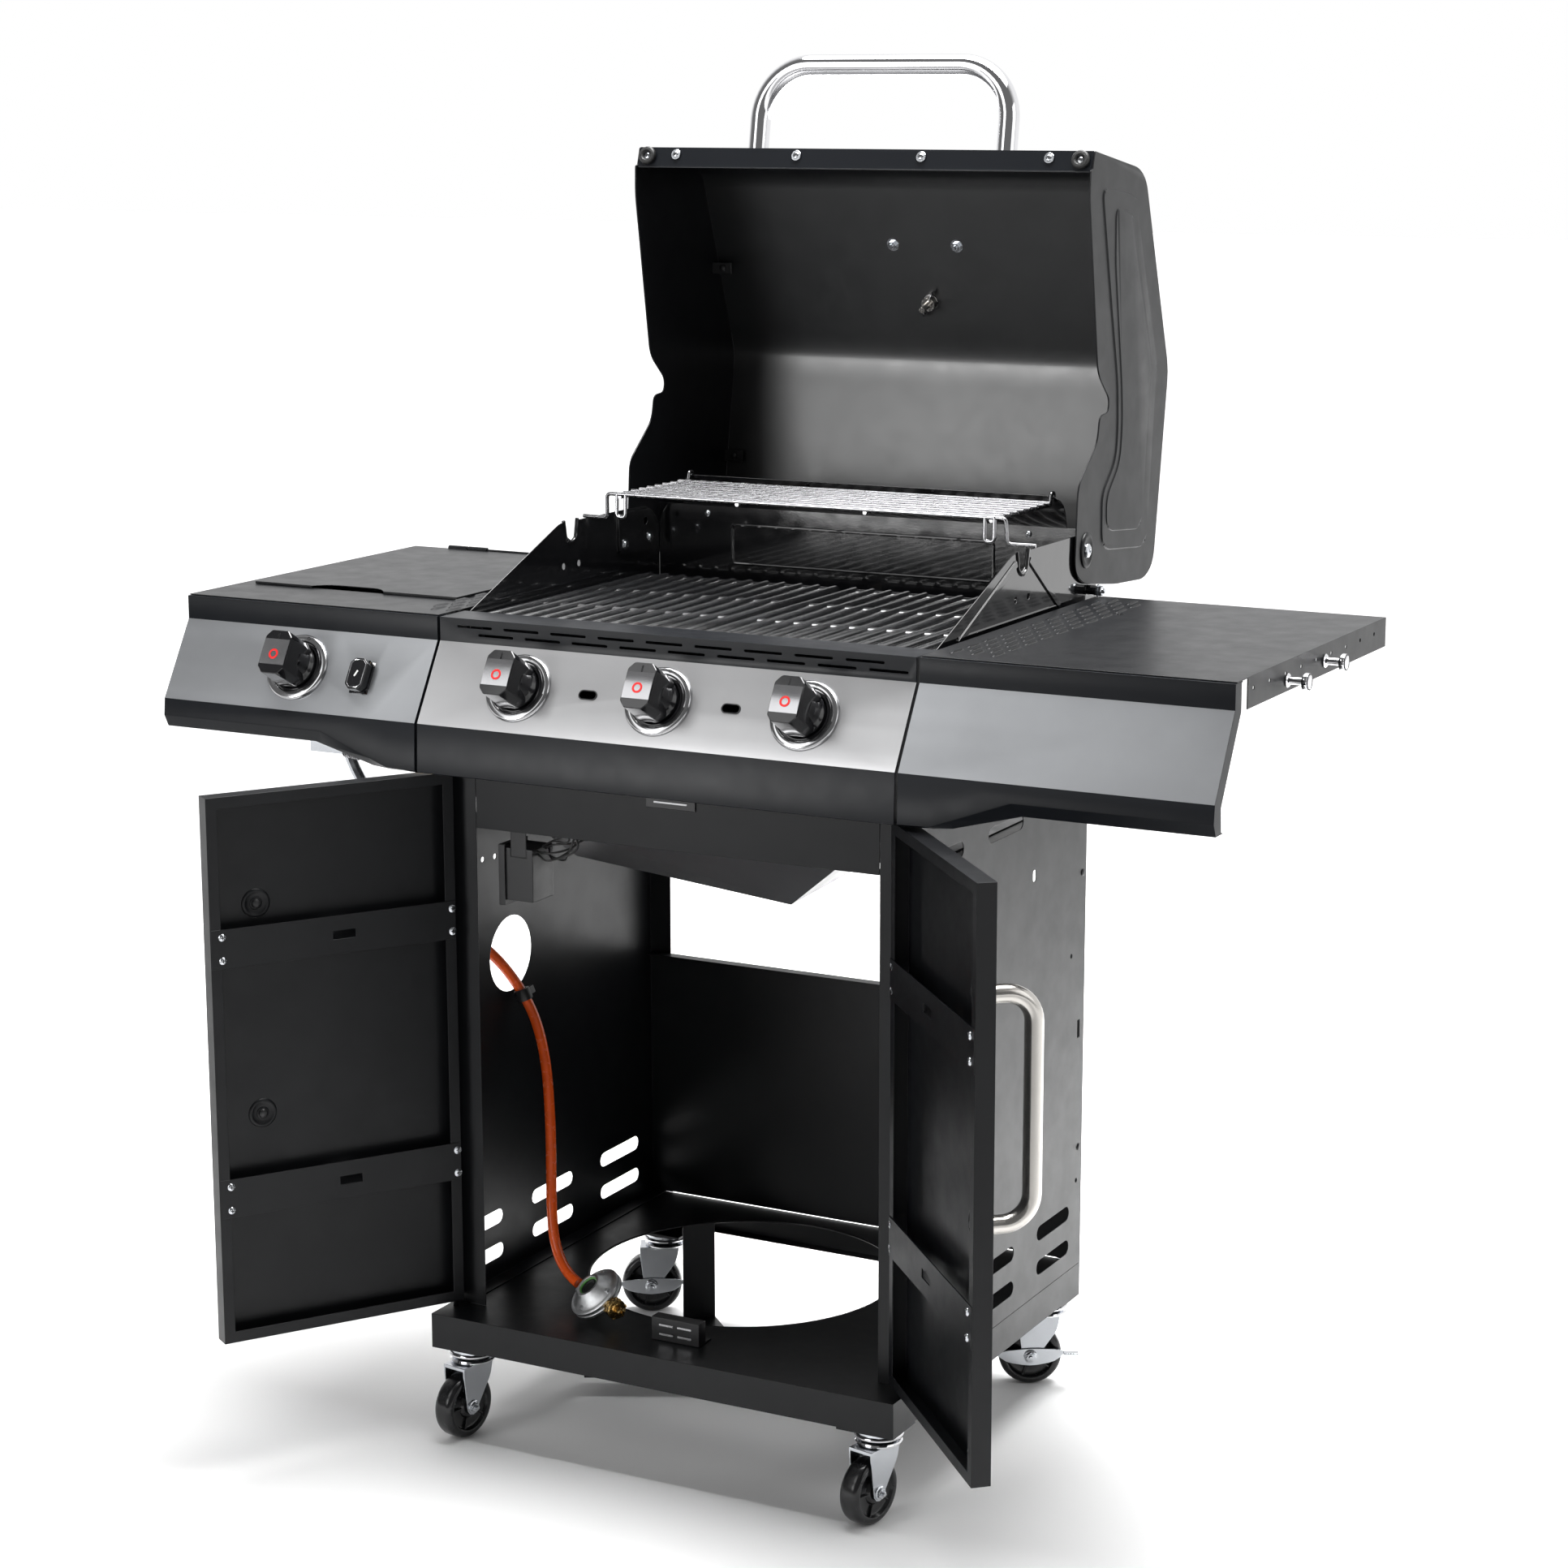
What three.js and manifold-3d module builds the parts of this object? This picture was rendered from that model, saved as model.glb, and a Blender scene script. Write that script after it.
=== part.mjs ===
// A three-burner gas barbecue cart: open cabinet with two doors, side shelves, side burner and tilting lid.
// Millimetres, +Z up. X runs along the cart's width and the front faces -Y.
import * as THREE from "three";
import { mergeVertices } from "three/addons/utils/BufferGeometryUtils.js";
import { ConvexGeometry } from "three/addons/geometries/ConvexGeometry.js";
import Module from "manifold-3d";

const wasm = await Module();
wasm.setup();

// ---------------------------------------------------------------- driving dimensions
const SHEET = 1.2; // steel sheet
const GAP = 0.3; // between pieces that rest on each other
const ORIGIN = { x: 12.5, y: 216.3 }; // middle of the whole footprint, measured from the cart's front centre

const CART = { half: 300.6, back: 465.2, top: 962, shoulder: 800, notchBack: 70 };
const BASE = { front: -49.9, top: 150.3, lip: 111.2, hem: 15 };
const BOTTLE = { x: -45, y: 245, hole: 187, legs: 192, legWidth: 42, floor: 20, hub: 45 };
const LEG_ANGLES = [136, 16, -154];

const DOOR = { x: 290.5, y: -13.5, bottom: 159, top: 791, depth: 21.4, hingeEdge: -6.5, freeEdge: 288.5 };
const DOOR_FRAME = 13;
const DOOR_OPEN = { left: -122.9, right: 132.7 };
const DOOR_STRAPS = [330, 619];
const DOOR_HANDLE = { along: 227, low: 416, high: 660, tube: 10, reach: 61, bend: 31 };

const BAND = { front: -1, top: 966.7, bottom: 939.5 };
const SLANT = { front: -52, bottom: 852 };
const CONSOLE_END = 655;
const KNOB_XS = { side: -481, left: -180, middle: 0, right: 180 };
const KNOB_Z = 897.5;
const IGNITER = { x: -389.4, z: 893.5, half: 12, halfTall: 19 };
const MANIFOLD = { y: 30, z: 865, radius: 9 };

const FIREBOX = { outer: 296.2, front: 54, back: 489.2, bottom: 800, brow: 1044 };
const GRATE = { top: 962.2, pitch: 23.5, half: 8, front: 58, back: 450, ribs: [64, 193, 321, 443] };
const RACK = { z: 1076, front: 307, pitch: 19, rods: 9, half: 250, wire: 2.4 };
const TRAY = { rail: 719.4, half: 269, front: 78, back: 462 };

const SHELF = { top: 968.2, inner: 303.5, outer: 655, back: 476.4 };
const PAN = { left: -630, right: -349, front: 107, back: 447, floor: 920 };
const BURNER_LID = { left: -634, right: -345, front: 103, back: 451, hinge: { y: 455, z: 972.4 } };

const LID = { half: 298.5, cap: 298.9, pivot: { y: 449, z: 1025 } };
const LID_HANDLE = { half: 165, tube: 12.5, bend: 65, reach: 108.7, foot: 52 };

const CASTER = { x: 266.5, front: -16, back: 439, wheel: 38.5, width: 25, trail: 18, leg: 14 };
const HOSE_RADIUS = 6.3;

// ---------------------------------------------------------------- solids
const degrees = (angle) => (angle * Math.PI) / 180;
const v2 = (x, y) => new THREE.Vector2(x, y);
const v3 = (x, y, z) => new THREE.Vector3(x, y, z);

// A manifold solid from a closed geometry, with its faces turned outwards.
function toSolid(geometry) {
  const bare = geometry.clone();
  bare.deleteAttribute("normal");
  bare.deleteAttribute("uv");
  const merged = mergeVertices(bare, 1e-3);
  const faces = [];
  for (let i = 0; i < merged.index.count; i += 3) {
    const [a, b, c] = [0, 1, 2].map((k) => merged.index.getX(i + k));
    if (a !== b && b !== c && c !== a) faces.push(a, b, c);
  }
  const vertProperties = merged.attributes.position.array;
  const make = (triVerts) => new wasm.Manifold(new wasm.Mesh({ numProp: 3, vertProperties, triVerts }));
  const solid = make(new Uint32Array(faces));
  return solid.volume() < 0 ? make(new Uint32Array(faces.reverse())) : solid;
}

function toGeometry(solid) {
  const mesh = solid.getMesh();
  const geometry = new THREE.BufferGeometry();
  geometry.setAttribute("position", new THREE.BufferAttribute(new Float32Array(mesh.vertProperties), 3));
  geometry.setIndex(new THREE.BufferAttribute(new Uint32Array(mesh.triVerts), 1));
  return geometry;
}

const closed = (geometry) => toGeometry(toSolid(geometry));
const join = (...pieces) => toGeometry(pieces.map(toSolid).reduce((whole, piece) => whole.add(piece)));
const subtract = (rest, tool) => rest.subtract(tool);
const cut = (body, ...tools) => toGeometry(tools.map(toSolid).reduce(subtract, toSolid(body)));
const mirrored = (geometry) => closed(geometry.clone().scale(-1, 1, 1));

function box(x0, x1, y0, y1, z0, z1) {
  const geometry = new THREE.BoxGeometry(x1 - x0, y1 - y0, z1 - z0);
  return geometry.translate((x0 + x1) / 2, (y0 + y1) / 2, (z0 + z1) / 2);
}

// An outline stood on "x" is in (y, z), on "y" in (x, z) and on "z" in (x, y), and is pushed from one value to another.
function prism(axis, shape, from, to, curveSegments = 3) {
  const options = { depth: to - from, bevelEnabled: false, steps: 1, curveSegments };
  const geometry = new THREE.ExtrudeGeometry(Array.isArray(shape) ? new THREE.Shape(shape) : shape, options);
  if (axis === "x") {
    const turn = new THREE.Matrix4().makeBasis(v3(0, 1, 0), v3(0, 0, 1), v3(1, 0, 0));
    return geometry.applyMatrix4(turn).translate(from, 0, 0);
  }
  if (axis === "y") return geometry.rotateX(Math.PI / 2).translate(0, to, 0);
  return geometry.translate(0, 0, from);
}

// A round bar along an axis; a and b are its place on the other two axes, in the order x, y, z.
function rod(axis, radius, a, b, from, to, sides = 10) {
  const geometry = new THREE.CylinderGeometry(radius, radius, to - from, sides);
  const middle = (from + to) / 2;
  if (axis === "x") return geometry.rotateZ(Math.PI / 2).translate(middle, a, b);
  if (axis === "y") return geometry.translate(a, middle, b);
  return geometry.rotateX(Math.PI / 2).translate(a, b, middle);
}

// A turned piece about +Z, from [radius, height] points.
function turned(profile, segments = 18) {
  const points = profile.map(([radius, height]) => v2(radius, height));
  return new THREE.LatheGeometry(points, segments).rotateX(Math.PI / 2);
}

// A closed outline through [x, y] corners; a third number rounds that corner.
function outline(corners) {
  const shape = new THREE.Shape();
  const count = corners.length;
  corners.forEach(([x, y, radius = 0], i) => {
    const here = v2(x, y);
    const towards = (j) => v2(...corners[(j + count) % count].slice(0, 2)).sub(here).setLength(radius);
    const start = here.clone().add(towards(i - 1));
    const end = here.clone().add(towards(i + 1));
    if (i === 0) shape.moveTo(start.x, start.y);
    else shape.lineTo(start.x, start.y);
    if (radius > 0) shape.quadraticCurveTo(here.x, here.y, end.x, end.y);
  });
  shape.closePath();
  return shape;
}

// The outline of a bent sheet: a line of points, thickened to its left.
function bentSheet(line, thickness = SHEET) {
  const points = line.map(([x, y]) => v2(x, y));
  const sideways = (a, b) => v2(a.y - b.y, b.x - a.x).normalize();
  const shifted = points.map((point, i) => {
    const before = i > 0 ? sideways(points[i - 1], point) : null;
    const after = i < points.length - 1 ? sideways(point, points[i + 1]) : null;
    const normal = (before ?? after).clone().add(after ?? before).normalize();
    return point.clone().addScaledVector(normal, thickness / normal.dot(before ?? after));
  });
  return [...points, ...shifted.reverse()];
}

// A level slot with round ends.
function slotOutline(across, up, length, height) {
  const reach = (length - height) / 2;
  const shape = new THREE.Shape();
  shape.absarc(across + reach, up, height / 2, -Math.PI / 2, Math.PI / 2, false);
  shape.absarc(across - reach, up, height / 2, Math.PI / 2, (3 * Math.PI) / 2, false);
  return shape;
}

// A solid through outlines of equal length in (y, z), each at its own x.
function loft(sections) {
  const positions = [];
  const count = sections[0].line.length;
  const corner = (i, j) => [sections[i].x, sections[i].line[j % count].x, sections[i].line[j % count].y];
  const triangle = (a, b, c) => positions.push(...a, ...b, ...c);
  for (let i = 0; i < sections.length - 1; i++) {
    for (let j = 0; j < count; j++) {
      triangle(corner(i, j), corner(i, j + 1), corner(i + 1, j + 1));
      triangle(corner(i, j), corner(i + 1, j + 1), corner(i + 1, j));
    }
  }
  const last = sections.length - 1;
  for (const [a, b, c] of THREE.ShapeUtils.triangulateShape(sections[0].line, [])) {
    triangle(corner(0, a), corner(0, c), corner(0, b));
    triangle(corner(last, a), corner(last, b), corner(last, c));
  }
  const geometry = new THREE.BufferGeometry();
  return geometry.setAttribute("position", new THREE.Float32BufferAttribute(positions, 3));
}

// A path that stops at each of its points in turn, however far apart they are.
class Route extends THREE.Curve {
  constructor(points) {
    super();
    this.points = points;
  }
  getPoint(t) {
    const place = t * (this.points.length - 1);
    const i = Math.min(Math.floor(place), this.points.length - 2);
    return this.points[i].clone().lerp(this.points[i + 1], place - i);
  }
  getPointAt(u) {
    return this.getPoint(u);
  }
  getTangentAt(u) {
    const last = this.points.length - 1;
    const i = Math.round(u * last);
    const before = this.points[Math.max(i, 1)].clone().sub(this.points[Math.max(i, 1) - 1]).normalize();
    const next = Math.min(i, last - 1);
    const after = this.points[next + 1].clone().sub(this.points[next]).normalize();
    return before.add(after).normalize();
  }
}

function tube(points, radius, sides = 10) {
  const ring = Array.from({ length: sides }, (_, i) => {
    const angle = (2 * Math.PI * i) / sides;
    return v2(radius * Math.cos(angle), radius * Math.sin(angle));
  });
  const options = { steps: points.length - 1, extrudePath: new Route(points), bevelEnabled: false };
  return new THREE.ExtrudeGeometry(new THREE.Shape(ring), options);
}

// Points of a bail: up one leg, round a bend, across, round a bend and down the other leg.
function bail(half, foot, reach, bend, place, steps = 6) {
  const points = [place(-half, foot)];
  for (const [side, from, to] of [[-1, 180, 90], [1, 90, 0]]) {
    for (let i = 0; i <= steps; i++) {
      const angle = degrees(from + ((to - from) * i) / steps);
      const across = side * (half - bend) + bend * Math.cos(angle);
      points.push(place(across, reach - bend + bend * Math.sin(angle)));
    }
  }
  points.push(place(half, foot));
  return points;
}

// ---------------------------------------------------------------- materials
const paint = (color, roughness, metalness = 0) => new THREE.MeshStandardMaterial({ color, roughness, metalness });
const LOOKS = {
  powder: paint(0x26282b, 0.5),
  graphite: paint(0x3b3e42, 0.42),
  porcelain: paint(0x0c0c0d, 0.15),
  silver: paint(0x8d9196, 0.35, 0.6),
  stainless: paint(0xb9b5ae, 0.25, 1),
  chrome: paint(0xdfe1e3, 0.08, 1),
  zinc: paint(0xc4c8cb, 0.3, 1),
  aluminium: paint(0xb4b8ba, 0.4, 1),
  brass: paint(0xa8843f, 0.3, 1),
  castIron: paint(0x17181a, 0.5),
  knob: paint(0x121214, 0.2),
  plastic: paint(0x161718, 0.4),
  wheel: paint(0x141517, 0.55),
  hose: paint(0xd8441a, 0.45),
};

const assembly = new THREE.Group();
assembly.position.set(-ORIGIN.x, -ORIGIN.y, 0);

function place(name, look, geometry, parent = assembly) {
  const mesh = new THREE.Mesh(closed(geometry), look);
  mesh.name = name;
  parent.add(mesh);
  return mesh;
}

// ---------------------------------------------------------------- cart
function baseShelf() {
  const { half, back } = CART;
  const { front, top, lip, hem } = BASE;
  const pieces = [
    cut(
      box(-half, half, front, back, lip, top),
      box(-half + SHEET, half - SHEET, front + SHEET, back - SHEET, lip - 1, top - SHEET),
      rod("z", BOTTLE.hole, BOTTLE.x, BOTTLE.y, lip, top + 1, 40),
    ),
    cut(
      box(-half, half, front, back, lip, lip + SHEET),
      box(-half + hem, half - hem, front + hem, back - hem, lip - 1, top - 10),
    ),
  ];
  const gusset = { wide: 70, deep: 56, under: lip - 2.5 };
  const plate = { half: 25, under: lip - 5.3 };
  for (const side of [-1, 1]) {
    const outer = side * half;
    const inner = side * (half - gusset.wide);
    const [x0, x1] = [Math.min(outer, inner), Math.max(outer, inner)];
    pieces.push(box(x0, x1, front, front + gusset.deep, gusset.under, lip + GAP));
    pieces.push(box(x0, x1, back - gusset.deep, back, gusset.under, lip + GAP));
    for (const y of [CASTER.front, CASTER.back]) {
      const x = side * CASTER.x;
      const [y0, y1] = [y - plate.half, y + plate.half];
      pieces.push(box(x - plate.half, x + plate.half, y0, y1, plate.under, gusset.under + GAP));
    }
    pieces.push(rod("z", 3, side * DOOR.x, DOOR.y, top - 1, DOOR.bottom + 6, 8));
  }
  return join(...pieces);
}

// Three straps hang under the round hole and meet in a hub that carries the bottle's foot.
function bottleCradle() {
  const { x, y, legs, legWidth, floor, hub } = BOTTLE;
  const half = legWidth / 2;
  const strap = 2;
  const tabTop = BASE.top - SHEET - GAP;
  const pieces = [rod("z", hub, 0, 0, floor, floor + strap, 24)];
  for (const angle of LEG_ANGLES) {
    const leg = join(
      box(legs, legs + 24, -half, half, tabTop - strap, tabTop),
      box(legs, legs + strap, -half, half, floor, tabTop),
      box(hub - 12, legs + strap, -half, half, floor, floor + strap),
    );
    pieces.push(leg.rotateZ(degrees(angle)));
  }
  return join(...pieces).translate(x, y, 0);
}

const panelSlots = () => {
  const lower = [59, 219.5, 381].flatMap((y) => [225, 182.5].map((z) => slotOutline(y, z, 95, 18)));
  const upper = [72, 232, 392].map((y) => slotOutline(y, 736.5, 95, 18));
  return [...lower, ...upper];
};

// The right-hand side of the cabinet; holes are (y, z) outlines cut through it.
function sidePanel(holes) {
  const { half, back, top, shoulder, notchBack } = CART;
  const foot = BASE.top + GAP;
  const edge = [[0, foot], [back, foot], [back, top], [notchBack, top], [notchBack, shoulder], [0, shoulder]];
  const side = outline(edge);
  const rail = TRAY.rail;
  const bracket = { low: 792, high: 794 };
  const panel = join(
    prism("x", side, half - SHEET, half),
    box(257, half, 0, SHEET, foot, shoulder),
    box(270, half, back - SHEET, back, foot, FIREBOX.bottom - 10),
    box(279, half, 0, back, foot, foot + SHEET),
    box(258, half - 0.5, 60, 460, rail - SHEET, rail),
    box(276, half, DOOR.y - 9, SHEET, bracket.low, bracket.high),
    rod("z", 3, DOOR.x, DOOR.y, DOOR.top - 11, bracket.high - 0.5, 8),
  );
  return cut(panel, ...[...panelSlots(), ...holes].map((hole) => prism("x", hole, half - 3, half + 2)));
}

const ringHole = (y, z, radius, sides = 8) =>
  Array.from({ length: sides }, (_, i) => (2 * Math.PI * i) / sides).map((angle) =>
    v2(y + radius * Math.cos(angle), z + radius * Math.sin(angle)),
  );

const rightHoles = () => [
  outline([[308.5, 658, 4], [317.5, 658, 4], [317.5, 672, 4], [308.5, 672, 4]]),
  ringHole(424, 544, 3),
  outline([[445.5, 438], [452.5, 438], [452.5, 460], [445.5, 460]]),
  ringHole(449, 259, 3),
];
const leftHoles = () => [ringHole(134.3, 542.5, 46, 32), ringHole(77.3, 668.5, 3.5), ringHole(103.5, 667, 3.5)];

function headerBeam() {
  const [half, low, high, deep] = [256.5, 726, 812, 25];
  const channel = bentSheet([[deep, low], [0, low], [0, high], [deep, high]], -SHEET);
  return prism("x", channel, -half, half);
}

function rearPanel() {
  const [half, low, high] = [296, 152, 470];
  const face = CART.back - SHEET - 0.4;
  return join(
    box(-half, half, face - SHEET, face, low, high),
    box(-half, half, face - 15, face, high - SHEET, high),
  );
}

// A magnet catch that stands on the base shelf between the doors.
function lowerDoorCatch() {
  const foot = BASE.top + GAP;
  return cut(
    join(box(-31, 31, -1.5, 14, foot, 178), box(-31, 31, -1.5, 27, foot, foot + 2)),
    box(-20, -3, -2, 1, 168, 171),
    box(3, 20, -2, 1, 168, 171),
    box(-20, -3, -2, 1, 157, 160),
    box(3, 20, -2, 1, 157, 160),
  );
}

// ---------------------------------------------------------------- console
// The front's section in (y, z): top flange, upright band, slanted face, chin, chamfer and return.
const consoleLine = (chin, chamfer, flangeBack) => [
  [flangeBack, BAND.top],
  [BAND.front, BAND.top],
  [BAND.front, BAND.bottom],
  [SLANT.front, SLANT.bottom],
  [SLANT.front - 2, chin],
  [SLANT.front + 5, chamfer],
  [SLANT.front + 24, chamfer],
];

// A plate that closes an end of the front, open towards the middle.
const endPlate = (chin, chamfer, deep) => [
  [BAND.front + deep, BAND.top],
  [BAND.front, BAND.top],
  [BAND.front, BAND.bottom],
  [SLANT.front, SLANT.bottom],
  [SLANT.front - 2, chin],
  [SLANT.front + 5, chamfer],
  [SLANT.front + 2 + deep, chamfer],
  [SLANT.front + deep, SLANT.bottom - 6],
  [BAND.front + deep, BAND.bottom - 4],
].map(([y, z]) => v2(y, z));

const slantRun = v2(SLANT.front - BAND.front, SLANT.bottom - BAND.bottom);
const slantTilt = Math.atan2(-slantRun.y, -slantRun.x); // from +Z back to the slanted face's outward normal
const slantY = (z) => BAND.front + (slantRun.x * (z - BAND.bottom)) / slantRun.y;

// Puts a piece modelled along +Z onto the slanted face, pointing out of it.
const onSlant = (geometry, x, z = KNOB_Z) => geometry.rotateX(slantTilt).translate(x, slantY(z), z);

function consoleCenter() {
  const half = 299.7;
  const [chin, chamfer] = [796.5, 794.5];
  const front = join(
    prism("x", bentSheet(consoleLine(chin, chamfer, 50)), -half, half),
    prism("x", endPlate(chin, chamfer, 15), -half, -half + SHEET),
    prism("x", endPlate(chin, chamfer, 15), half - SHEET, half),
  );
  const stems = [KNOB_XS.left, KNOB_XS.middle, KNOB_XS.right];
  const windows = [-90, 90].map((x) => onSlant(prism("z", slotOutline(0, 0, 22, 10), -4, 4), x));
  return cut(front, ...stems.map((x) => onSlant(rod("z", 6.5, 0, 0, -4, 4), x)), ...windows);
}

// A side part of the front: the chin rises in steps away from the middle.
const CHIN_STEPS = [
  [303, 797, 794.5],
  [341, 798, 795],
  [365, 806.9, 797.5],
  [433, 832, 815.3],
  [443, 832, 818],
  [CONSOLE_END, 832, 818],
];

function consoleSide() {
  const flangeBack = 20;
  const sections = CHIN_STEPS.map(([x, chin, chamfer]) => {
    return { x, line: bentSheet(consoleLine(chin, chamfer, flangeBack)) };
  });
  const [inner, outer] = [CHIN_STEPS[0], CHIN_STEPS[CHIN_STEPS.length - 1]];
  return join(
    loft(sections),
    prism("x", endPlate(inner[1], inner[2], 15), inner[0], inner[0] + SHEET),
    prism("x", endPlate(outer[1], outer[2], 18), outer[0] - SHEET, outer[0]),
  );
}

function consoleLeft() {
  const { x, z, half, halfTall } = IGNITER;
  const clear = 0.4;
  const window = box(-half - clear, half + clear, -halfTall - clear, halfTall + clear, -6, 6);
  return cut(
    mirrored(consoleSide()),
    onSlant(rod("z", 6.5, 0, 0, -4, 4), KNOB_XS.side),
    onSlant(window, x, z),
  );
}

// A knob about +Z: a round skirt and a proud grip bar, bored from behind for its stem.
function knob() {
  const skirt = turned([[0, 4.6], [26, 4.6], [26, 13], [22, 19], [19, 30], [0, 30]], 20);
  const section = [[-14, 10], [14, 10], [14, 44, 3], [9, 48.5, 3], [-9, 48.5, 3], [-14, 44, 3]];
  const bar = prism("y", outline(section), -25, 25, 2);
  return cut(join(skirt, bar), rod("z", 4.8, 0, 0, 0, 27, 8));
}

const valveStem = () => rod("z", 4, 0, 0, -14.5, 22, 8);

// A push button with cut corners.
function igniterButton() {
  const { half, halfTall } = IGNITER;
  const corner = 6;
  const face = [
    [-half + corner, -halfTall], [half - corner, -halfTall], [half, -halfTall + corner], [half, halfTall - corner],
    [half - corner, halfTall], [-half + corner, halfTall], [-half, halfTall - corner], [-half, -halfTall + corner],
  ].map(([x, y]) => v2(x, y));
  return prism("z", face, -10, 14);
}

// ---------------------------------------------------------------- gas
function gasManifold() {
  const { y, z, radius } = MANIFOLD;
  const pieces = [rod("x", radius, y, z, -500, 205, 10)];
  for (const x of Object.values(KNOB_XS)) {
    pieces.push(onSlant(rod("z", 9, 0, 0, -64, -14.8, 8), x));
    pieces.push(rod("y", 4.5, x, z, y, y + 22, 6));
  }
  pieces.push(rod("z", 7, -457, y - 2, 798, z, 8));
  pieces.push(box(-494, -420, 12, 36, 792, 808));
  const bend = [v3(-446, 24, 788), v3(-440, 25, 774), v3(-433, 26, 761)];
  const sleeve = [v3(-448, 24, 800), ...bend, v3(-428, 27, 750)];
  pieces.push(tube(sleeve, 6.8, 8));
  return join(...pieces);
}

function ignitionModule() {
  return join(box(-236, -199, 27, 72, 638, 700), box(-228, -207, 26, 27.6, 690, 760));
}

// The hose hangs from the inlet, crosses the side panel's round hole and comes down to the regulator.
const HOSE_ROUTE = [
  [-427.8, 27.1, 749.6], [-422.9, 28, 738.7], [-418, 31.5, 719], [-413, 39, 698], [-406.5, 47, 676],
  [-399, 57, 654], [-390, 69, 631.5], [-379.5, 83, 610], [-367.5, 97, 590.5], [-354.5, 110, 573],
  [-340.5, 120.5, 557], [-326, 128.5, 542], [-312, 133.5, 527], [-298.5, 136.5, 510.5],
  [-286.5, 139.5, 492], [-275.5, 141, 472], [-266, 139.5, 451.5], [-258, 136.5, 430], [-251, 132, 406],
  [-245.5, 127, 381], [-240.9, 121.8, 356], [-237, 116.8, 331], [-234, 112.2, 306], [-231.3, 107.7, 281],
  [-227.8, 101.8, 256.5], [-222.6, 94.8, 234], [-215.1, 86.7, 214.5], [-204.2, 77.7, 199],
  [-190.6, 68.5, 188], [-176.1, 60.5, 181], [-162.1, 54, 177],
].map((point) => v3(...point));

const gasHose = () => tube(HOSE_ROUTE, HOSE_RADIUS, 8);

// The regulator leans on its rim: a domed disc with the gas way running past under it.
const REGULATOR = { x: -124.6, y: 32.0, z: 177.6 };
function regulator() {
  const lower = [[0, -15], [16, -15], [20, -9], [28, -5], [33.5, -4]];
  const upper = [[33.5, 4], [29, 5], [17, 15], [12, 17.5], [0, 17.5]];
  const body = join(
    turned([...lower, ...upper], 18),
    rod("x", 7, 0, -9, -36, 0, 8),
    rod("x", 9.5, 0, -9, 0, 28, 8),
    rod("x", 12.5, 0, -9, 28, 43, 6),
    rod("x", 4.5, 0, -9, 43, 53, 6),
  );
  const up = v3(-0.355, -0.5416, 0.763).normalize();
  const along = v3(0.895, -0.419, -0.149);
  along.addScaledVector(up, -along.dot(up)).normalize();
  const turn = new THREE.Matrix4().makeBasis(along, up.clone().cross(along), up);
  return body.applyMatrix4(turn).translate(REGULATOR.x, REGULATOR.y, REGULATOR.z);
}

// ---------------------------------------------------------------- firebox
// The right wall: slopes up to a notched brow, with a raised peak outside, a hinge plate inside and the lid's stop.
function fireboxWall() {
  const { outer, bottom, brow } = FIREBOX;
  const inner = outer - SHEET;
  const wall = outline([
    [56, bottom], [490, bottom], [490, 1020, 16], [462, brow, 20], [290, brow, 3], [288, 1034],
    [286, 1026, 3], [277.5, 1021], [269, 1026, 3], [267, 1034], [265, brow, 3], [252.5, brow, 8], [56, 966],
  ]);
  const rib = (line) => prism("x", bentSheet(line, 7), outer - 0.4, outer + 2);
  const plate = outline([[384, 1040], [384, 990, 12], [468, 990, 12], [468, 1040, 12]]);
  const pieces = [
    prism("x", wall, inner, outer),
    rib([[258, 1036], [107, 968]]),
    rib([[383, 972], [297, 1036]]),
    prism("x", plate, inner - 3.5, inner + 0.4),
    rod("x", 6, 464, 976.5, outer - 1, 310, 8),
    box(inner - 14, outer, 56, 56 + SHEET, bottom + 3, 920),
  ];
  const holes = [
    rod("x", 4.7, LID.pivot.y, LID.pivot.z, inner - 8, outer + 4, 10),
    rod("x", 4, 260, 991.5, inner - 8, outer + 4, 8),
    rod("x", 4, 295, 991.5, inner - 8, outer + 4, 8),
  ];
  return cut(join(...pieces), ...holes);
}

function fireboxTrough() {
  const { front, back, bottom, brow } = FIREBOX;
  const half = FIREBOX.outer - SHEET - GAP;
  const [floor, drainFront, drainBack] = [747, 250, 300];
  const hopper = [[front, bottom], [drainFront, floor], [drainBack, floor], [back, bottom]];
  const line = [[front, 964], ...hopper, [back, brow]];
  const grateLedge = 944;
  const emitterLedge = 922.8;
  const railTop = outline([[-259, brow - 1], [259, brow - 1], [259, brow + 40, 22], [-259, brow + 40, 22]]);
  const rail = prism("y", railTop, -SHEET, 0, 4).translate(0, 0, -brow).rotateX(degrees(15)).translate(0, back, brow);
  const trough = join(
    prism("x", bentSheet(line), -half, half),
    box(-half, half, front + 0.5, front + 13, grateLedge, grateLedge + SHEET),
    box(-half, half, 441, back - 0.5, grateLedge, grateLedge + SHEET),
    box(-half, half, front + 0.5, front + 17, emitterLedge, emitterLedge + SHEET),
    box(-half, half, 430, back - 0.5, emitterLedge, emitterLedge + SHEET),
    rail,
  );
  const burnerXs = [KNOB_XS.left, KNOB_XS.middle, KNOB_XS.right];
  return cut(
    trough,
    box(-200, 200, drainFront + 6, drainBack - 6, floor - 5, floor + 5),
    ...burnerXs.map((x) => rod("y", 14, x, MANIFOLD.z, front - 5, front + 5, 12)),
  );
}

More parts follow.
